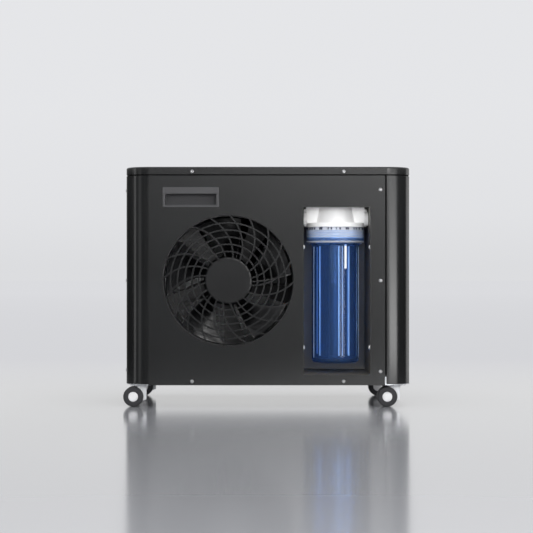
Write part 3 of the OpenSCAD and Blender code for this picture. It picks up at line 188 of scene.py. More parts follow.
def powder_coat(name, tone, rough, gloss=0.5):
    """Powder coat: fine orange peel with a little cloud in tone and sheen."""
    material, tree, shader = new_material(name)
    cloud = object_noise(tree, 9.0, 2.0)
    tree.links.new(two_tone(tree, cloud, tone, 0.9, 1.12), shader.inputs["Base Color"])
    peel = object_noise(tree, PEEL_SCALE, 2.0)
    tree.links.new(spread(tree, peel, rough - 0.05, rough + 0.06), shader.inputs["Roughness"])
    shader.inputs["Specular IOR Level"].default_value = gloss
    bump(tree, shader, peel, 0.35, PEEL_DEPTH)
    return material


def mould_grit(tree, shader, rough, relief):
    """Fine texture of a mould, in sheen and relief."""
    grit = object_noise(tree, GRIT_SCALE, 2.0)
    tree.links.new(spread(tree, grit, rough - 0.04, rough + 0.05), shader.inputs["Roughness"])
    bump(tree, shader, grit, 0.4, relief)


def moulded_plastic(name, tone, rough, relief=GRIT_DEPTH):
    """Moulded plastic with a fine mould texture and faint flow marks."""
    material, tree, shader = new_material(name)
    flow = object_noise(tree, 30.0, 2.0, stretch=(1, 1, 0.25))
    tree.links.new(two_tone(tree, flow, tone, 0.94, 1.05), shader.inputs["Base Color"])
    mould_grit(tree, shader, rough, relief)
    return material


def painted_shade_moulding(name, tone, shade, rough, axis, start, end, dull):
    """Moulded plastic with painted shade: darker and duller along one axis, between two places in metres.
    """
    material, tree, shader = new_material(name)
    along = between(tree, axes(tree, object_coords(tree))[axis], start, end)
    tree.links.new(colour_stops(tree, along, ((0, tone), (1, shade))), shader.inputs["Base Color"])
    tree.links.new(spread(tree, along, 0.5, dull, 0, 1), shader.inputs["Specular IOR Level"])
    mould_grit(tree, shader, rough, GRIT_DEPTH)
    return material


def plated_steel(name, tone, rough, stretch=(1, 1, 1), metal=1.0):
    """Zinc plate or drawn metal, with fine lines along the stretch."""
    material, tree, shader = new_material(name)
    lines = object_noise(tree, 260.0, 4.0, stretch=stretch)
    tree.links.new(two_tone(tree, lines, tone, 0.86, 1.08), shader.inputs["Base Color"])
    tree.links.new(spread(tree, lines, rough - 0.06, rough + 0.08), shader.inputs["Roughness"])
    shader.inputs["Metallic"].default_value = metal
    bump(tree, shader, lines, 0.25, LINES_DEPTH)
    return material


def galvanised_sheet(name, dark, bright):
    """Galvanised sheet with its spangle."""
    material, tree, shader = new_material(name)
    spangle = tree.nodes.new("ShaderNodeTexVoronoi")
    spangle.inputs["Scale"].default_value = 90.0
    tree.links.new(object_coords(tree), spangle.inputs["Vector"])
    grey = tree.nodes.new("ShaderNodeSeparateColor")
    tree.links.new(spangle.outputs["Color"], grey.inputs["Color"])
    tone = colour_stops(tree, grey.outputs["Red"], ((0, dark), (1, bright)))
    tree.links.new(tone, shader.inputs["Base Color"])
    tree.links.new(spread(tree, grey.outputs["Green"], 0.32, 0.5, 0, 1), shader.inputs["Roughness"])
    shader.inputs["Metallic"].default_value = 1.0
    return material


def clear_blue(name, tone, clarity, rough, index=1.45, shade=(0.5, 0.66, 0.95)):
    """Clear blue moulding. Lamps reach what is inside it through a tint."""
    material, tree, shader = new_material(name)
    flow = object_noise(tree, 40.0, 1.0, stretch=(1, 1, 0.15))
    tree.links.new(two_tone(tree, flow, tone, 0.93, 1.04), shader.inputs["Base Color"])
    tree.links.new(spread(tree, flow, rough, rough + 0.03), shader.inputs["Roughness"])
    shader.inputs["Transmission Weight"].default_value = clarity
    shader.inputs["Specular IOR Level"].default_value = 0.04
    shader.inputs["IOR"].default_value = index
    tint = tree.nodes.new("ShaderNodeBsdfTransparent")
    tint.inputs["Color"].default_value = (*shade, 1)
    path = tree.nodes.new("ShaderNodeLightPath")
    final = mixed(tree, path.outputs["Is Shadow Ray"], shader.outputs["BSDF"], tint.outputs["BSDF"])
    tree.links.new(final, tree.nodes["Material Output"].inputs["Surface"])
    return material


def rubber(name, tone, rough):
    """Rubber with a little dust on it."""
    material, tree, shader = new_material(name)
    dust = object_noise(tree, 160.0, 4.0)
    tree.links.new(two_tone(tree, dust, tone, 0.85, 1.2), shader.inputs["Base Color"])
    tree.links.new(spread(tree, dust, rough - 0.08, rough + 0.08), shader.inputs["Roughness"])
    bump(tree, shader, dust, 0.3, DUST_DEPTH)
    return material


panel_coat = powder_coat("charcoal_powder_coat", (0.0072, 0.0076, 0.008), 0.19)
# Painted light: a much lighter copy of the charcoal coat, for the niche where less light falls
liner_lit_coat = powder_coat("liner_coat_painted_light", (0.094, 0.086, 0.073), 0.42)
# Near-black and matte, so the lid's gap and the upright seam read as painted shadow
gap_shadow_coat = powder_coat("black_gap_shadow_coat", (0.0015, 0.0015, 0.0016), 0.6, gloss=0.08)
grille_coat = powder_coat("grille_moulding", (0.0062, 0.0064, 0.0069), 0.2, gloss=0.45)
motor_paint = powder_coat("motor_paint", (0.012, 0.012, 0.013), 0.35)
compressor_paint = powder_coat("compressor_black", (0.01, 0.01, 0.011), 0.25)

galvanised = galvanised_sheet("galvanised_steel", (0.5, 0.51, 0.53), (0.68, 0.69, 0.71))
# Painted highlight: a near-white, barely metallic copy of the zinc, for the screws in the shaded niche
niche_screw_highlight = plated_steel("niche_screw_painted_highlight", (0.92, 0.92, 0.93), 0.4, metal=0.1)
screw_zinc = plated_steel("bright_zinc", (0.45, 0.45, 0.46), 0.28)
steel = plated_steel("ground_steel", (0.6, 0.6, 0.62), 0.3, stretch=(1, 0.05, 1))
fin_aluminium = plated_steel("fin_aluminium", (0.55, 0.56, 0.57), 0.35, stretch=(1, 1, 0.1))
copper = plated_steel("drawn_copper", (0.72, 0.36, 0.2), 0.3)
stainless = plated_steel("stainless_plate", (0.62, 0.63, 0.64), 0.26)
pin_metal = plated_steel("nickel_pins", (0.75, 0.7, 0.55), 0.25)

# Painted shade: the handle's pocket is darker than its frame, and the shroud darker and duller on the
# machine's side
handle_plastic = painted_shade_moulding("handle_moulding", (0.031, 0.031, 0.0335), (0.019, 0.019, 0.0215), 0.42,
                                 "Y", panel_front + 2 * MM, panel_front + 12 * MM, dull=0.4)
shroud_plastic = painted_shade_moulding("shroud_moulding", (0.0085, 0.0085, 0.0092), (0.003, 0.003, 0.0033), 0.36,
                                 "X", fan_axis.x - 30 * MM, fan_axis.x + 60 * MM, dull=0.06)
fork_white = moulded_plastic("caster_body_white", (0.66, 0.67, 0.69), 0.3)
black_moulding = moulded_plastic("black_moulding", (0.012, 0.012, 0.013), 0.4)
fan_gloss = moulded_plastic("fan_gloss_black", (0.0022, 0.0022, 0.0025), 0.24, relief=POLISHED)
white_head = moulded_plastic("white_head_moulding", (0.96, 0.96, 0.965), 0.45, relief=POLISHED)
white_cap = moulded_plastic("white_wheel_cap", (0.7, 0.7, 0.71), 0.3, relief=POLISHED)
# Painted highlight on the filter's housing
highlight_white = moulded_plastic("painted_highlight_strip", (0.9, 0.92, 0.95), 0.3)
# Painted shade for the notches round the filter's collar
notch_shade_navy = moulded_plastic("navy_notch_shade", (0.004, 0.009, 0.03), 0.5)
element_grey = moulded_plastic("blue_grey_tube", (0.03, 0.034, 0.05), 0.3, relief=POLISHED)
pipe_white = moulded_plastic("pipe_moulding", (0.62, 0.63, 0.64), 0.4)
display_glass = moulded_plastic("smoked_display", (0.004, 0.005, 0.006), 0.08, relief=POLISHED / 10)
button_grey = moulded_plastic("button_moulding", (0.06, 0.06, 0.064), 0.4)
rocker_gloss = moulded_plastic("rocker_moulding", (0.008, 0.008, 0.008), 0.22)

housing_blue = clear_blue("clear_blue_housing", (0.222, 0.4, 0.73), 0.955, 0.02, index=1.2,
                          shade=(0.72, 0.82, 0.98))
collar_clear = clear_blue("clear_pale_collar", (0.86, 0.87, 0.9), 0.62, 0.04, shade=(0.8, 0.88, 0.99))
# Deeper blue for a band of the collar, and as painted shade in its grooves
collar_deep_and_groove_shade = clear_blue("deeper_collar_and_groove_shade", (0.24, 0.42, 0.8), 0.8, 0.03, shade=(0.72, 0.82, 0.98))
collar_blue = clear_blue("pale_blue_threads", (0.78, 0.82, 0.87), 0.25, 0.08)
# Ribs whose pale tone is a painted highlight
rib_highlight_blue = clear_blue("pale_blue_rib_highlight", (0.78, 0.84, 0.92), 0.2, 0.1)

seal_rubber = rubber("black_seal_rubber", (0.012, 0.012, 0.012), 0.55)
tyre_rubber = rubber("grey_tyre_rubber", (0.022, 0.022, 0.0245), 0.6)
tread_shade_rubber = rubber("tread_rim_shade_rubber", (0.02, 0.02, 0.021), 0.5)

CORNERS = ["front_left", "front_right", "rear_left", "rear_right"]
FINISHES = {
    panel_coat: ["front_panel", "right_panel", "rear_panel", "left_panel", "top_lid"],
    liner_lit_coat: ["niche_liner"],
    gap_shadow_coat: ["top_frame"],
    grille_coat: ["fan_grille"],
    galvanised: ["base_pan", "partition", "filter_bracket", "caster_plates"],
    screw_zinc: ["lid_screws", "panel_screws"],
    niche_screw_highlight: ["niche_screws"],
    fork_white: ["caster_fork_" + c for c in CORNERS],
    handle_plastic: ["handle_insert"],
    shroud_plastic: ["fan_shroud"],
    black_moulding: ["inlet_fitting", "outlet_fitting", "drain_plug", "controller", "power_inlet",
                     "switch_frame", "water_pump", "control_box"],
    fan_gloss: ["fan"],
    steel: ["fan_shaft"],
    motor_paint: ["fan_motor"],
    white_head: ["filter_head"],
    white_cap: ["caster_hubs_" + c for c in CORNERS],
    housing_blue: ["filter_sump"],
    element_grey: ["filter_element"],
    seal_rubber: ["sump_seal", "compressor_mounts"],
    tyre_rubber: ["caster_tyres_" + c for c in CORNERS],
    fin_aluminium: ["condenser_fins"],
    copper: ["condenser_tubes", "drier", "refrigerant_lines"],
    compressor_paint: ["compressor"],
    stainless: ["heat_exchanger"],
    pipe_white: ["water_lines"],
    display_glass: ["display_window"],
    button_grey: ["button_set", "button_up", "button_down"],
    rocker_gloss: ["power_rocker"],
}
for finish, names in FINISHES.items():
    for name in names:
        slots = nodes[name].material_slots
        if not slots:
            nodes[name].data.materials.append(finish)
        for slot in slots:
            slot.link = "OBJECT"
            slot.material = finish


# Making pieces

WELD = 0.004 * MM
CAD_WELD = 0.005 * MM
POLE_WELD = 0.01 * MM
CREASE = math.radians(30)
LEAST_LEAN = math.radians(0.4)
FLAT_WITHIN = math.radians(0.5)
LIKE_SIZE = 2.5


def finish_of(node):
    return nodes[node].material_slots[0].material


def add_piece(name, bm, body, materials, hides=(), smooth=True):
    """Turns a bmesh into a finished piece: merged, normals outward, smooth with sharp creases."""
    bmesh.ops.remove_doubles(bm, verts=bm.verts, dist=WELD)
    bmesh.ops.recalc_face_normals(bm, faces=bm.faces)
    mesh = bpy.data.meshes.new(name)
    bm.to_mesh(mesh)
    bm.free()
    if smooth:
        for face in mesh.polygons:
            face.use_smooth = True
        mesh.set_sharp_from_angle(angle=CREASE)
    for material in materials:
        mesh.materials.append(material)
    obj = bpy.data.objects.new(name, mesh)
    bpy.context.scene.collection.objects.link(obj)
    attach(obj, body)
    if hides:
        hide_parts(*hides)
    return obj


def curved(face):
    """A face is part of a curve when a neighbour of about its own size leans only a little away."""
    size = face.calc_area()
    for edge in face.edges:
        if len(edge.link_faces) == 2 and LEAST_LEAN < edge.calc_face_angle(0.0) < CREASE:
            other = [f for f in edge.link_faces if f is not face]
            if other and other[0].calc_area() > size / LIKE_SIZE:
                return True
    return False


def softened(node, width):
    """A copy of a CAD node with its sharp edges rounded by a real press or mould radius."""
    bm = bmesh.new()
    bm.from_mesh(nodes[node].data)
    bmesh.ops.remove_doubles(bm, verts=bm.verts, dist=CAD_WELD)
    bmesh.ops.dissolve_limit(bm, angle_limit=FLAT_WITHIN, verts=bm.verts, edges=bm.edges)
    sharp = [edge for edge in bm.edges if len(edge.link_faces) == 2 and edge.calc_face_angle(0.0) > CREASE]
    for face in bm.faces:
        face.smooth = curved(face)
    rounded = set(bmesh.ops.bevel(bm, geom=sharp, offset=width * MM, segments=2, profile=0.5,
                                  affect="EDGES", clamp_overlap=True, material=-1)["faces"])
    for edge in bm.edges:
        beside = edge.link_faces
        edge.smooth = len(beside) == 2 and edge.calc_face_angle(0.0) < CREASE \
            and (beside[0] in rounded) == (beside[1] in rounded)
    for face in rounded:
        face.smooth = True
    return add_piece(node + "_finished", bm, body_of[node], [finish_of(node)],
                     hides=[node], smooth=False)


def revolve(bm, profile, matrix=None, steps=64):
    """Spins (radius, height) points about the local Z axis into a closed skin."""
    before = set(bm.verts)
    verts = [bm.verts.new((r, 0, z)) for r, z in profile]
    edges = [bm.edges.new(pair) for pair in zip(verts, verts[1:])]
    bmesh.ops.spin(bm, geom=verts + edges, axis=(0, 0, 1), cent=(0, 0, 0), steps=steps,
                   angle=math.tau, use_merge=True)
    made = [v for v in bm.verts if v not in before]
    bmesh.ops.remove_doubles(bm, verts=made, dist=POLE_WELD)
    made = [v for v in bm.verts if v not in before]
    if matrix is not None:
        bmesh.ops.transform(bm, matrix=matrix, verts=made)
    return made


def block(bm, low, high, bevel=0.0, segments=2):
    """A box between two corners with rounded edges."""
    before = set(bm.verts)
    middle = (low + high) / 2
    size = high - low
    bmesh.ops.create_cube(bm, size=1.0, matrix=Matrix.Translation(middle) @ Matrix.Diagonal((*size, 1)))
    made = [v for v in bm.verts if v not in before]
    if bevel:
        edges = list({e for v in made for e in v.link_edges})
        bmesh.ops.bevel(bm, geom=edges, offset=bevel * MM, segments=segments, profile=0.5,
                        affect="EDGES", clamp_overlap=True, material=-1)
        made = [v for v in bm.verts if v not in before]
    return made


def facing(point, direction):
    """Stands a piece made along +Z at a point so that it looks along a direction."""
    return Matrix.Translation(point) @ Vector(direction).to_track_quat("Z", "Y").to_matrix().to_4x4()


def turned(bm, verts, angle):
    """Turns a piece about the upright axis through the origin."""
    bmesh.ops.rotate(bm, verts=verts, cent=(0, 0, 0), matrix=Matrix.Rotation(angle, 3, "Z"))


def on_filter_axis(bm):
    """Moves what was made round the origin to the filter's axis."""
    bmesh.ops.translate(bm, verts=bm.verts, vec=filter_axis)
    return bm


def arc(centre, radius, start, end, steps=6):
    """(radius, height) points of a fillet, angles in degrees from the outward direction."""
    angles = [math.radians(start + (end - start) * i / steps) for i in range(steps + 1)]
    return [(centre[0] + radius * math.cos(a), centre[1] + radius * math.sin(a)) for a in angles]


# Sheet metal and mouldings with their rounded edges, in millimetres of offset

SOFT_EDGES = {
    "front_panel": 0.3, "right_panel": 0.3, "rear_panel": 0.3, "left_panel": 0.3, "top_lid": 0.5,
    "niche_liner": 0.3, "handle_insert": 0.5, "fan_grille": 0.22, "fan_shroud": 0.4, "base_pan": 0.3,
    "caster_plates": 0.3, "controller": 0.8, "switch_frame": 0.4, "power_rocker": 0.3,
    "drain_plug": 0.4, "button_set": 0.3, "button_up": 0.3, "button_down": 0.3, "filter_head": 0.9,
    "inlet_fitting": 0.35, "outlet_fitting": 0.35, "display_window": 0.2,
}
FORK_EDGE = 0.5
for node, width in SOFT_EDGES.items():
    softened(node, width)
for corner in CORNERS:
    softened("caster_fork_" + corner, FORK_EDGE)


# Black strip that fills the upright seam between the front and right panels: a painted shadow

SEAM_X = (221.3, 224.3)
SEAM_Y = (FRONT - 0.25, FRONT + 0.4)
SEAM_Z = (62.5, 438.2)


def painted_seam_shadow():
    bm = bmesh.new()
    low, high = (place(*corner) for corner in zip(SEAM_X, SEAM_Y, SEAM_Z))
    block(bm, low, high, bevel=0.1, segments=1)
    return bm


add_piece("painted_seam_shadow", painted_seam_shadow(), CASE, [gap_shadow_coat])


# Button-head screws with a hexagon socket

SOCKET_R, SOCKET_FLOOR, SOCKET_TOP = 1.35, 0.9, 2.05
HEAD_CROWN = [(1.9, 2.2), (2.6, 2.02), (3.2, 1.55), (3.62, 0.9), (3.8, 0.25), (3.7, 0)]
SHANK = [(1.75, 0), (1.75, -3.6), (1.3, -4), (0, -4)]
OUT_FRONT, OUT_BACK, OUT_LEFT, OUT_RIGHT = (0, -1, 0), (0, 1, 0), (-1, 0, 0), (1, 0, 0)
SCREW_X, LID_SCREW_Z, LOW_SCREW_Z = 143, 446.2, 50.2
SEAM_SCREW_X, SEAM_SCREW_Y, SEAM_SCREW_Z = 212.3, 132.3, (69, 240.5, 412)
NICHE_SCREW_Y, NICHE_SCREW_Z = -178.8, (114, 304)
SIXTH = 60


def screw(bm, point, direction):
    profile = [(0, SOCKET_FLOOR), (SOCKET_R, SOCKET_FLOOR), (SOCKET_R, SOCKET_TOP)] + HEAD_CROWN + SHANK
    made = revolve(bm, scaled(profile), steps=24)
    for vert in made:
        r = math.hypot(vert.co.x, vert.co.y)
        if vert.co.z > 0.5 * MM and 0.5 * MM < r < 1.6 * MM:
            turn = math.degrees(math.atan2(vert.co.y, vert.co.x)) % SIXTH - SIXTH / 2
            vert.co.xy *= math.cos(math.radians(SIXTH / 2)) / math.cos(math.radians(turn))
    bmesh.ops.transform(bm, matrix=facing(point, direction), verts=made)


def screw_set(places):
    bm = bmesh.new()
    for point, direction in places:
        screw(bm, point, direction)
    return bm


rows = [(s * SCREW_X, y, way) for s in (-1, 1) for y, way in ((FRONT, OUT_FRONT), (BACK, OUT_BACK))]
lid_places = [(place(x, y, LID_SCREW_Z), way) for x, y, way in rows]
panel_places = [(place(x, y, LOW_SCREW_Z), way) for x, y, way in rows]
for z in SEAM_SCREW_Z:
    panel_places += [(place(SEAM_SCREW_X, FRONT, z), OUT_FRONT), (place(RIGHT, SEAM_SCREW_Y, z), OUT_RIGHT),
                     (place(-SEAM_SCREW_X, BACK, z), OUT_BACK), (place(LEFT, -SEAM_SCREW_Y, z), OUT_LEFT)]
niche_places = [(place(x, NICHE_SCREW_Y, z), way) for z in NICHE_SCREW_Z
                for x, way in ((NICHE_LEFT, OUT_RIGHT), (NICHE_RIGHT, OUT_LEFT))]
for node, places in (("lid_screws", lid_places), ("panel_screws", panel_places),
                     ("niche_screws", niche_places)):
    add_piece(node + "_finished", screw_set(places), CASE, [finish_of(node)], hides=[node])


# The fan, whose blades are finer than the solid's

HUB_R = 47 * MM
HUB_D = 38 * MM
HUB_ROUND = 5 * MM
HUB_WALL = 3 * MM
TIP_R = 118.9 * MM
BLADE_T = 2.4 * MM
BLADES = 5
# Root and tip: angles of the leading and trailing edges clockwise from the top, and the blade's depth
LEAD_TURN = (209.0, 184.5)
TRAIL_TURN = (235.0, 227.5)
DEPTH_SHARE = (0.9, 0.72)
CAMBER_SHARE = 0.12


def mix(pair, share):
    return pair[0] + (pair[1] - pair[0]) * share


def blade_place(s, c):
    """Point of a blade: s from root to tip, c from the leading to the trailing edge."""
    r = mix((HUB_R - MM, TIP_R), s)
    turn = math.radians(mix((mix(LEAD_TURN, s), mix(TRAIL_TURN, s)), c))
    depth = HUB_D * mix(DEPTH_SHARE, s)
    y = (0.5 - c) * depth + HUB_D * CAMBER_SHARE * 4 * c * (1 - c)
    return Vector((r * math.sin(turn), fan_front + HUB_D / 2 + y, r * math.cos(turn)))


def fan_wheel():
    bm = bmesh.new()
    for number in range(BLADES):
        grid = bmesh.ops.create_grid(bm, x_segments=20, y_segments=16, size=0.5)["verts"]
        turn = Matrix.Rotation(math.radians(number * 360 / BLADES), 4, "Y")
        for vert in grid:
            vert.co = turn @ blade_place(vert.co.y + 0.5, vert.co.x + 0.5)
        faces = {face for vert in grid for face in vert.link_faces}
        bmesh.ops.solidify(bm, geom=list(faces), thickness=BLADE_T)
    edge = arc((HUB_R - HUB_ROUND, HUB_ROUND), HUB_ROUND, -90, 0)
    bore = HUB_R - HUB_WALL
    profile = [(0, 0)] + edge + [(HUB_R, HUB_D), (bore, HUB_D), (bore, HUB_ROUND), (0, HUB_ROUND)]
    along_y = Matrix.Translation((0, fan_front, 0)) @ Matrix.Rotation(-math.pi / 2, 4, "X")
    revolve(bm, profile, along_y, steps=72)
    bmesh.ops.translate(bm, verts=bm.verts, vec=fan_axis)
    return bm


add_piece("fan_wheel", fan_wheel(), "fan", [fan_gloss], hides=["fan"])


# The filter's clear housing: a rippled body under a knurled collar with grooves outside and threads inside

SUMP_R = 45.2
SUMP_WALL = 4
SUMP_FLOOR = 6
CORNER = 6
FOOT_HOLLOW = 1.2
COLLAR_R = 56
COLLAR_H = 30.6
BORE = SUMP_R - SUMP_WALL
THREAD_ROOM = 3.4
RIPPLES, RIPPLE_H = 10, 0.6
RIPPLE_PHASE = math.radians(6.8 - 90)
KNURLS, KNURL_DEPTH = 48, 0.35
# Foot of the collar: how far inside its radius and above its lower edge, up to the deep band's ends
COLLAR_FOOT = ((3.4, 0), (0.8, 1.2), (0, 2.4), (0, 4), (0.7, 4.6), (0.7, 11.3), (0, 12))
DEEP_BAND = (4, 11.3)
GROOVES, GROOVE_START, GROOVE_STEP, GROOVE_W = 4, 13.2, 3, 1.2
GROOVE = ((0, 0), (0.8, 0.2), (0.8, 1.2), (0, 1.4))
THREADS, THREAD_DROP, THREAD_STEP = 5, 3, 3.4
THREAD = ((3.4, 0), (1.4, 1.0), (1.4, 1.7), (3.4, 2.7))
sump_base = sump_low.z / MM
sump_top = sump_high.z / MM
collar_z = sump_top - COLLAR_H


def body_profile():
    """Outer and inner skin of the housing as one closed outline."""
    lip = COLLAR_R - SUMP_R - SUMP_WALL / 2
    hollow = sump_base + FOOT_HOLLOW
    outer = [(0, hollow), (SUMP_R * 0.55, hollow), (SUMP_R * 0.6, sump_base)]
    outer += arc((SUMP_R - CORNER, sump_base + CORNER), CORNER, -90, 0)
    outer += [(SUMP_R, sump_base + 2 * CORNER), (SUMP_R, collar_z - lip)]
    outer += [(SUMP_R + 0.8, collar_z - lip / 2)]
    outer += [(COLLAR_R - inset, collar_z + up) for inset, up in COLLAR_FOOT]
    for i in range(GROOVES):
        z = collar_z + GROOVE_START + GROOVE_STEP * i
        outer += [(COLLAR_R - inset, z + up) for inset, up in GROOVE]
    outer += [(COLLAR_R, sump_top - 2.6), (COLLAR_R - 0.8, sump_top - 2), (COLLAR_R - 0.8, sump_top)]
    inner = [(BORE + THREAD_ROOM, sump_top)]
    for i in range(THREADS):
        z = sump_top - THREAD_DROP - THREAD_STEP * i
        inner += [(BORE + out, z - down) for out, down in THREAD]
    inner += [(BORE + THREAD_ROOM, collar_z + 8), (BORE, collar_z + 4), (BORE, sump_base + 2 * CORNER)]
    inner += arc((BORE - CORNER, sump_base + SUMP_FLOOR + CORNER), CORNER, 0, -90)
    inner += [(0, sump_base + SUMP_FLOOR)]
    return outer + inner


def ridge(r, z, angle):
    """How far the housing's outer skin stands out of its round form, in millimetres."""
    if sump_base + CORNER - 0.5 < z < collar_z - 8:
        return max(0.0, math.cos(RIPPLES * (angle - RIPPLE_PHASE))) ** 10 * RIPPLE_H
    if r > COLLAR_R - 0.3:
        return -KNURL_DEPTH * (0.5 + 0.5 * math.cos(KNURLS * angle)) ** 4
    return 0.0


def collar_band(up):
    """Which of the housing's three finishes a face has, by its height over the collar's lower edge."""
    if up < -0.5:
        return 0
    into = up - GROOVE_START - 0.1
    # The grooves take the deeper blue as painted shade
    grooved = 0 < into < (GROOVES - 1) * GROOVE_STEP + GROOVE_W and into % GROOVE_STEP < GROOVE_W
    return 2 if grooved or DEEP_BAND[0] < up < DEEP_BAND[1] else 1


def housing():
    bm = bmesh.new()
    for vert in revolve(bm, scaled(body_profile()), steps=180):
        r = math.hypot(vert.co.x, vert.co.y) / MM
        if r >= SUMP_R - 0.5:
            angle = math.atan2(vert.co.y, vert.co.x)
            vert.co.xy *= 1 + ridge(r, vert.co.z / MM, angle) / r
    for face in bm.faces:
        face.material_index = collar_band(face.calc_center_median().z / MM - collar_z)
    return on_filter_axis(bm)


add_piece("filter_housing", housing(), "filter_sump",
          [housing_blue, collar_clear, collar_deep_and_groove_shade], hides=["filter_sump"])


# Upright ribs of the housing, set where light runs down it, their pale tone a painted highlight: angle,
# width, and how far they end above the base and below the collar

INNER_RIBS = ((-47, 2.8, 14, 6), (7.4, 2.2, 14, 6), (17.4, 1.4, 14, 6), (36, 3.8, 14, 6),
              (140, 2.6, 14, 6), (-120, 2.6, 14, 6))
OUTER_RIBS = ((-67, 2.4, 10, 7), (78, 2.0, 10, 7))
# A white strip down from the collar on the housing's outer skin: a painted highlight
HIGHLIGHT_STRIP = ((23.8, 4.6, 181, 2),)


def upright_ribs(places, radius, deep):
    bm = bmesh.new()
    for degrees, wide, low, high in places:
        made = block(bm, Vector((-wide / 2, -radius, sump_base + low)) * MM,
                     Vector((wide / 2, deep - radius, collar_z - high)) * MM, bevel=0.5)
        turned(bm, made, math.radians(degrees))
    return on_filter_axis(bm)


for name, ribs, radius, deep, finish in (("inner_ribs", INNER_RIBS, BORE + 0.2, 2.0, rib_highlight_blue),
                                         ("outer_ribs", OUTER_RIBS, SUMP_R + 0.55, 1.4, rib_highlight_blue),
                                         ("highlight_strip", HIGHLIGHT_STRIP, SUMP_R + 0.5, 1.4, highlight_white)):
    add_piece("housing_" + name, upright_ribs(ribs, radius, deep), "filter_sump",
              [finish])


# Dark navy blocks round the rim of the collar, unevenly spaced and wide: painted shade that stands for the
# notches where the wrench grips

NOTCH_SHADES = 40
NOTCH_SHADE_Z = (sump_top - 5.4, sump_top - 0.8)
NOTCH_SHADE_Y = (-COLLAR_R - 0.45, -COLLAR_R + 1.6)


def collar_notch_shades():
    bm = bmesh.new()
    for number in range(NOTCH_SHADES):
        half = 1.0 + 0.6 * abs(math.sin(number * 2.4))
        low, high = (Vector((side * half, y, z)) * MM for side, y, z in zip((-1, 1), NOTCH_SHADE_Y, NOTCH_SHADE_Z))
        made = block(bm, low, high, bevel=0.3, segments=1)
        turned(bm, made, math.tau * (number + 0.3 * math.sin(number * 3.7)) / NOTCH_SHADES)
    return on_filter_axis(bm)


add_piece("collar_notch_shades", collar_notch_shades(), "filter_sump", [notch_shade_navy])


# Pale ring with threads, seen through the collar's clear wall

RING_IN, RING_OUT, RING_RIDGE = COLLAR_R - 5.2, COLLAR_R - 4.2, COLLAR_R - 3.0
RING_START, RIDGE_START = 9, 11


def collar_skin():
    bm = bmesh.new()
    outline = [(RING_IN, collar_z + RING_START), (RING_OUT, collar_z + RING_START)]
    for i in range(THREADS):
        z = collar_z + RIDGE_START + THREAD_STEP * i
        outline += [(RING_OUT, z), (RING_RIDGE, z + 1.0), (RING_RIDGE, z + 1.6), (RING_OUT, z + 2.6)]
    outline += [(RING_OUT, sump_top - 2), (RING_IN, sump_top - 2), (RING_IN, collar_z + RING_START)]
    revolve(bm, scaled(outline), steps=96)
    return on_filter_axis(bm)


add_piece("collar_threads", collar_skin(), "filter_sump", [collar_blue])


# The filter's element, a slim tube with its end caps: radius, and distance from its lower or upper end

TUBE_BORE = 7.5
TUBE_FOOT = ((TUBE_BORE, 0), (11.2, 0), (12.4, 1), (12.6, 6), (12, 7))
TUBE_HEAD = ((12, 9), (12.6, 8), (12.6, 2), (11.6, 0), (TUBE_BORE, 0))


def element():
    bm = bmesh.new()
    low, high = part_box("filter_element")
    foot, head = low.z / MM, high.z / MM
    outline = [(r, foot + up) for r, up in TUBE_FOOT] + [(r, head - down) for r, down in TUBE_HEAD]
    outline += [(TUBE_BORE, foot + 6), (TUBE_BORE, foot)]
    revolve(bm, scaled(outline))
    return on_filter_axis(bm)


add_piece("filter_tube", element(), "filter_element", [element_grey],
          hides=["filter_element"])


# Port flanges and bleed plugs of the filter's head

FLANGE_REACH, PLUG_REACH, PLUG_FORWARD, PLUG_Z = 56.4, 55.6, 9, 374.6
FLANGE = [(13.4, 0), (15.2, 0), (15.8, 0.6), (15.8, 3.0), (15.2, 3.6), (13.4, 3.6), (13.4, 0)]
PLUG = [(0, 0), (3.2, 0), (3.2, 3.2), (2.8, 4.4), (1.8, 5.2), (0, 5.6)]


def head_trim():
    bm = bmesh.new()
    for side in (-1, 1):
        port = place(FILTER_X + side * FLANGE_REACH, FILTER_Y, PORT_Z)
        plug = place(FILTER_X + side * PLUG_REACH, FILTER_Y - PLUG_FORWARD, PLUG_Z)
        revolve(bm, scaled(FLANGE), facing(port, (side, 0, 0)), 48)
        revolve(bm, scaled(PLUG), facing(plug, (side, 0, 0)), 32)
    return bm


add_piece("head_port_flanges", head_trim(), CASE, [white_head])


# Casters: tyre with its rounded tread a little darker, as painted shade, and a domed white cap on each side

TYRE_R = 19
TYRE_BORE = 9.4
TYRE_WIDTH = 12.0
TREAD_FROM = 17.3
# Outline of a tyre: radius, and distance from its inner or outer side
TYRE_INSIDE = ((TYRE_BORE, 0), (17.6, 0), (18.5, 0.5), (TYRE_R, 1.6))
TYRE_OUTSIDE = ((TYRE_R, 1.9), (18.7, 0.9), (18.1, 0.35), (17.4, 0.2), (16.9, 0), (11.2, 0), (10.6, 0.35),
                (TYRE_BORE, 0.35))
CAP_R, CAP_SHOULDER, AXLE_R = 9.3, 9.0, 2.9
# Dome of a cap: radius, and distance below its top
CAP_DOME = ((7.6, 0.35), (6.2, 0.08), (4, 0), (0, 0))


def wheel_place(corner):
    """Middle of a caster's wheels, and how far they reach to each side of it."""
    low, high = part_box("caster_tyres_" + corner)
    return (low + high) / 2, (high.y - low.y) / 2 / MM


def tyres(corner):
    centre, reach = wheel_place(corner)
    inner = reach - TYRE_WIDTH
    bm = bmesh.new()
    outline = [(r, inner + out) for r, out in TYRE_INSIDE] + [(r, reach - back) for r, back in TYRE_OUTSIDE]
    outline += [(TYRE_BORE, inner)]
    for side in (-1, 1):
        revolve(bm, scaled(outline), facing(centre, (0, side, 0)), 72)
    for face in bm.faces:
        middle = face.calc_center_median() - centre
        face.material_index = 1 if math.hypot(middle.x, middle.z) / MM > TREAD_FROM else 0
    return bm


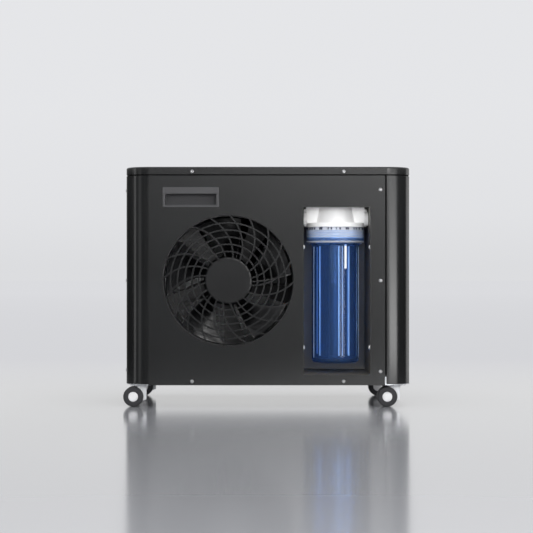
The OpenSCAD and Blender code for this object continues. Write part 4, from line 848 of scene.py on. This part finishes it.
def caps(corner):
    centre, reach = wheel_place(corner)
    top = (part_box("caster_hubs_" + corner)[1].y - centre.y) / MM
    inner = reach - TYRE_WIDTH
    bm = bmesh.new()
    outline = [(0, inner + 0.2), (CAP_R, inner + 0.2), (CAP_R, reach - 0.2), (CAP_SHOULDER, reach + 0.15)]
    outline += [(r, top - down) for r, down in CAP_DOME]
    for side in (-1, 1):
        revolve(bm, scaled(outline), facing(centre, (0, side, 0)))
    end = inner + 0.4
    axle = [(0, -end), (AXLE_R, -end), (AXLE_R, end), (0, end)]
    revolve(bm, scaled(axle), facing(centre, (0, 1, 0)), 32)
    return bm


for corner in CORNERS:
    body = "wheels_" + corner
    add_piece("tyres_" + corner, tyres(corner), body,
              [tyre_rubber, tread_shade_rubber], hides=["caster_tyres_" + corner])
    add_piece("wheel_caps_" + corner, caps(corner), body,
              [white_cap], hides=["caster_hubs_" + corner])


# Threads of the water connections

CONNECTION_R, CONNECTION_INNER_R, CONNECTION_START = 14.0, 12.6, 14.4
RIDGES, FIRST_RIDGE, RIDGE_STEP, RIDGES_L = 6, 0.8, 2.0, 13.2
RIDGE = ((1.0, 0), (0, 0.7), (0, 1.0), (1.0, 1.6))


def connection_threads(node):
    bm = bmesh.new()
    low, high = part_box(node)
    middle = (low + high) / 2
    outline = [(CONNECTION_INNER_R, 0)]
    for i in range(RIDGES):
        y = FIRST_RIDGE + RIDGE_STEP * i
        outline += [(CONNECTION_R - inset, y + along) for inset, along in RIDGE]
    outline += [(CONNECTION_INNER_R, RIDGES_L), (CONNECTION_INNER_R, 0)]
    start = Vector((middle.x, high.y - CONNECTION_START * MM, middle.z))
    revolve(bm, scaled(outline), facing(start, (0, 1, 0)), 48)
    return bm


for node in ("inlet_fitting", "outlet_fitting"):
    add_piece(node + "_threads", connection_threads(node), CASE, [black_moulding])


# The power inlet with its pins

SOCKET_FLANGE, BODY_INSET, BODY_DEPTH = 2.5, 2.75, 21.8
POCKET_INSET, POCKET_DEPTH = 4.6, 17
PIN_PLACES = ((-7, -2.5), (7, -2.5), (0, 2.5))
PIN_HALF = Vector((1, 0, 2)) * MM
PIN_Y = (-18, -5)


def pushed(bm, face, inset, step):
    """Insets a face and pushes its middle in or out along y."""
    bmesh.ops.inset_region(bm, faces=[face], thickness=inset * MM)
    made = bmesh.ops.extrude_discrete_faces(bm, faces=[face])["faces"]
    bmesh.ops.translate(bm, verts=made[0].verts[:], vec=(0, step * MM, 0))


def power_socket():
    bm = bmesh.new()
    low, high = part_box("power_inlet")
    block(bm, Vector((low.x, high.y - SOCKET_FLANGE * MM, low.z)), high)
    faces = sorted(bm.faces, key=lambda face: face.calc_center_median().y)
    front, back = faces[-1], faces[0]
    pushed(bm, back, BODY_INSET, -BODY_DEPTH)
    pushed(bm, front, POCKET_INSET, -POCKET_DEPTH)
    rims = [edge for edge in bm.edges if len(edge.link_faces) == 2 and edge.calc_face_angle(0) > 1]
    bmesh.ops.bevel(bm, geom=rims, offset=0.5 * MM, segments=2, profile=0.5, affect="EDGES",
                    clamp_overlap=True, material=-1)
    return bm


def socket_pins():
    bm = bmesh.new()
    low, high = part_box("power_inlet")
    middle = (low + high) / 2
    for x, z in PIN_PLACES:
        inner, outer = (Vector((middle.x + x * MM, high.y + y * MM, middle.z + z * MM)) for y in PIN_Y)
        block(bm, inner - PIN_HALF, outer + PIN_HALF, bevel=0.35)
    return bm


add_piece("power_inlet_socket", power_socket(), CASE, [black_moulding],
          hides=["power_inlet"])
add_piece("power_inlet_pins", socket_pins(), CASE, [pin_metal])


# What gloss sees of the studio: cards round the object, as (azimuth, level) with 0 straight out of the
# front and + to the right. ROUND_LOW is near the horizon, ROUND_HIGH a little above, OVERHEAD the rest

GLOW = 11.0
ROUND_LOW = ((-180, .95), (-160, .95), (-152, .05), (-108, .02), (-82, .03), (-79, .03), (-77, 2.6),
             (-73, 2.6), (-71, .06), (-57, .06), (-52, .8), (-43, .8), (-39, .08), (-12, .08),
             (-8, .12), (1, .16), (6, .6), (12, 1.1), (17, 2.1), (44, 2.1), (50, .5), (55, .04), (113, .03),
             (120, 1.4), (132, 1.2), (142, .3), (160, .95), (180, .95))
ROUND_HIGH = ((-180, .78), (-95, .78), (-80, 2.8), (-68, .6), (-15, .3), (-4, .6), (2, 7.2), (6, 9.6),
              (14, 9), (21, 2.2), (60, 1.2), (75, 1.0), (100, .78), (180, .78))
OVERHEAD = 0.7
# The front right card's level on the floor, near the object and far from it
CARD_AZIMUTHS = (17, 50)
FLOOR_CARD = (2.0, 9.4)
HALF_WIDTH, HALF_DEPTH = 0.25, 0.18

FLOOR_TONE = (0.29, 0.296, 0.315, 1)
FAR_FLOOR = ((0, (0.66, 0.665, 0.69)), (1, (0.705, 0.71, 0.735)))
BACKDROP = ((0, .715), (.2, .753), (.4, .768), (.6, .78), (1, .785))
ROOM_LEVEL = 0.45


def azimuth_ramp(tree, x, y, levels):
    """Level by direction round the object, as a share of GLOW."""
    turn = reckoned(tree, "ARCTAN2", x, reckoned(tree, "MULTIPLY", y, -1.0))
    stops = [((azimuth + 180) / 360, [level / GLOW] * 3) for azimuth, level in levels]
    return colour_stops(tree, between(tree, turn, -math.pi, math.pi), stops)


def floor_cards(tree, x, y, distance):
    """The cards' glow on the floor, measured round the nearer corner of the object."""
    from_corner = reckoned(tree, "ADD", x, spread(tree, x, HALF_WIDTH, -HALF_WIDTH, -0.5, 0.5))
    from_front = reckoned(tree, "ADD", y, HALF_DEPTH)
    cards = []
    for card in FLOOR_CARD:
        levels = [(azimuth, card if CARD_AZIMUTHS[0] <= azimuth <= CARD_AZIMUTHS[1] else level)
                  for azimuth, level in ROUND_LOW]
        glow = tree.nodes.new("ShaderNodeEmission")
        glow.inputs["Strength"].default_value = GLOW
        tree.links.new(azimuth_ramp(tree, from_corner, from_front, levels), glow.inputs["Color"])
        cards.append(glow.outputs["Emission"])
    return mixed(tree, between(tree, distance, 1.3, 1.7), *cards)


def floor_material():
    """Pale glossy floor. Far behind it fades into the backdrop, and gloss sees the studio's cards on it."""
    material, tree, shader = new_material("pale_floor")
    shader.inputs["Base Color"].default_value = FLOOR_TONE
    shader.inputs["Roughness"].default_value = 0.13
    coords = object_coords(tree)
    x, y, _ = axes(tree, coords)
    length = tree.nodes.new("ShaderNodeVectorMath")
    length.operation = "LENGTH"
    tree.links.new(coords, length.inputs[0])
    distance = length.outputs["Value"]
    path = tree.nodes.new("ShaderNodeLightPath")
    far = tree.nodes.new("ShaderNodeEmission")
    tree.links.new(colour_stops(tree, between(tree, y, 1.5, 14.0), FAR_FLOOR), far.inputs["Color"])
    behind = reckoned(tree, "MULTIPLY", between(tree, y, 0.2, 1.6), path.outputs["Is Camera Ray"])
    seen = mixed(tree, behind, shader.outputs["BSDF"], far.outputs["Emission"])
    away = reckoned(tree, "MULTIPLY", between(tree, distance, 0.7, 1.1), path.outputs["Is Glossy Ray"])
    final = mixed(tree, away, seen, floor_cards(tree, x, y, distance))
    tree.links.new(final, tree.nodes["Material Output"].inputs["Surface"])
    return material


def floor():
    bm = bmesh.new()
    bmesh.ops.create_circle(bm, cap_ends=True, radius=30.0, segments=64)
    mesh = bpy.data.meshes.new("studio_floor")
    bm.to_mesh(mesh)
    bm.free()
    mesh.materials.append(floor_material())
    obj = bpy.data.objects.new("studio_floor", mesh)
    bpy.context.scene.collection.objects.link(obj)


def background(tree, colour, strength=1.0):
    node = tree.nodes.new("ShaderNodeBackground")
    node.inputs["Strength"].default_value = strength
    tree.links.new(colour, node.inputs["Color"])
    return node.outputs["Background"]


def backdrop():
    """Pale world for the camera and clear parts, soft cards for gloss, and a plain level for light."""
    world = bpy.data.worlds.new("studio")
    bpy.context.scene.world = world
    world.use_nodes = True
    tree = world.node_tree
    room = tree.nodes["Background"]
    room.inputs["Color"].default_value = (1.0, 1.0, 1.0, 1)
    room.inputs["Strength"].default_value = ROOM_LEVEL
    above = tree.nodes.new("ShaderNodeBackground")
    above.inputs["Color"].default_value = (OVERHEAD, OVERHEAD, OVERHEAD * 1.03, 1)
    x, y, z = axes(tree, tree.nodes.new("ShaderNodeTexCoord").outputs["Generated"])
    stops = [(position, (level, level * 1.008, level * 1.035)) for position, level in BACKDROP]
    seen = background(tree, colour_stops(tree, between(tree, z, 0.0, 0.144), stops))
    low, high = (background(tree, azimuth_ramp(tree, x, y, levels), GLOW)
                 for levels in (ROUND_LOW, ROUND_HIGH))
    cards = mixed(tree, between(tree, z, 0.07, 0.13), low, high)
    cards = mixed(tree, between(tree, z, 0.2, 0.25), cards, above.outputs["Background"])
    path = tree.nodes.new("ShaderNodeLightPath")
    clear = reckoned(tree, "MAXIMUM", path.outputs["Is Camera Ray"], path.outputs["Is Transmission Ray"])
    final = mixed(tree, path.outputs["Is Glossy Ray"], room.outputs["Background"], cards)
    final = mixed(tree, clear, final, seen)
    tree.links.new(final, tree.nodes["World Output"].inputs["Surface"])


# Soft lights: azimuth, distance, height of the middle, width, height and level. They light, and gloss
# and the camera don't see them

SOFTBOXES = {
    "front_right_box": (29, 2.6, 1.25, 2.3, 1.7, 8),
    "front_box": (-3, 3.2, 0.5, 2.4, 0.8, 33),
    "top_box": (10, 0.5, 2.4, 1.8, 1.8, 10),
    "rear_box": (165, 2.6, 2.4, 1.8, 1.2, 14),
}
AIM_Z = 0.24


def softbox(name, azimuth, distance, middle_z, width, height, level):
    light = bpy.data.lights.new(name, "AREA")
    light.shape = "RECTANGLE"
    light.size = width
    light.size_y = height
    light.energy = level * width * height
    obj = bpy.data.objects.new(name, light)
    a = math.radians(azimuth)
    point = Vector((math.sin(a) * distance, -math.cos(a) * distance, middle_z))
    aim = Vector((0, 0, AIM_Z)) - point
    obj.matrix_world = Matrix.Translation(point) @ aim.to_track_quat("-Z", "Y").to_matrix().to_4x4()
    bpy.context.scene.collection.objects.link(obj)
    obj.visible_camera = False
    obj.visible_glossy = False


# Level view from the front, at the photograph's distance and framing

CAMERA_X, CAMERA_AWAY, CAMERA_Z = -0.00095, 3.35, 0.267


def camera():
    lens = bpy.data.cameras.new("camera")
    lens.lens = 120.0
    lens.sensor_width = 36.0
    lens.sensor_fit = "HORIZONTAL"
    lens.clip_end = 100.0
    obj = bpy.data.objects.new("camera", lens)
    obj.location = (CAMERA_X, panel_front - CAMERA_AWAY, CAMERA_Z)
    obj.rotation_euler = (math.pi / 2, 0, 0)
    bpy.context.scene.collection.objects.link(obj)
    bpy.context.scene.camera = obj


floor()
backdrop()
for name, setting in SOFTBOXES.items():
    softbox(name, *setting)
camera()
bpy.context.scene.view_settings.view_transform = "Standard"
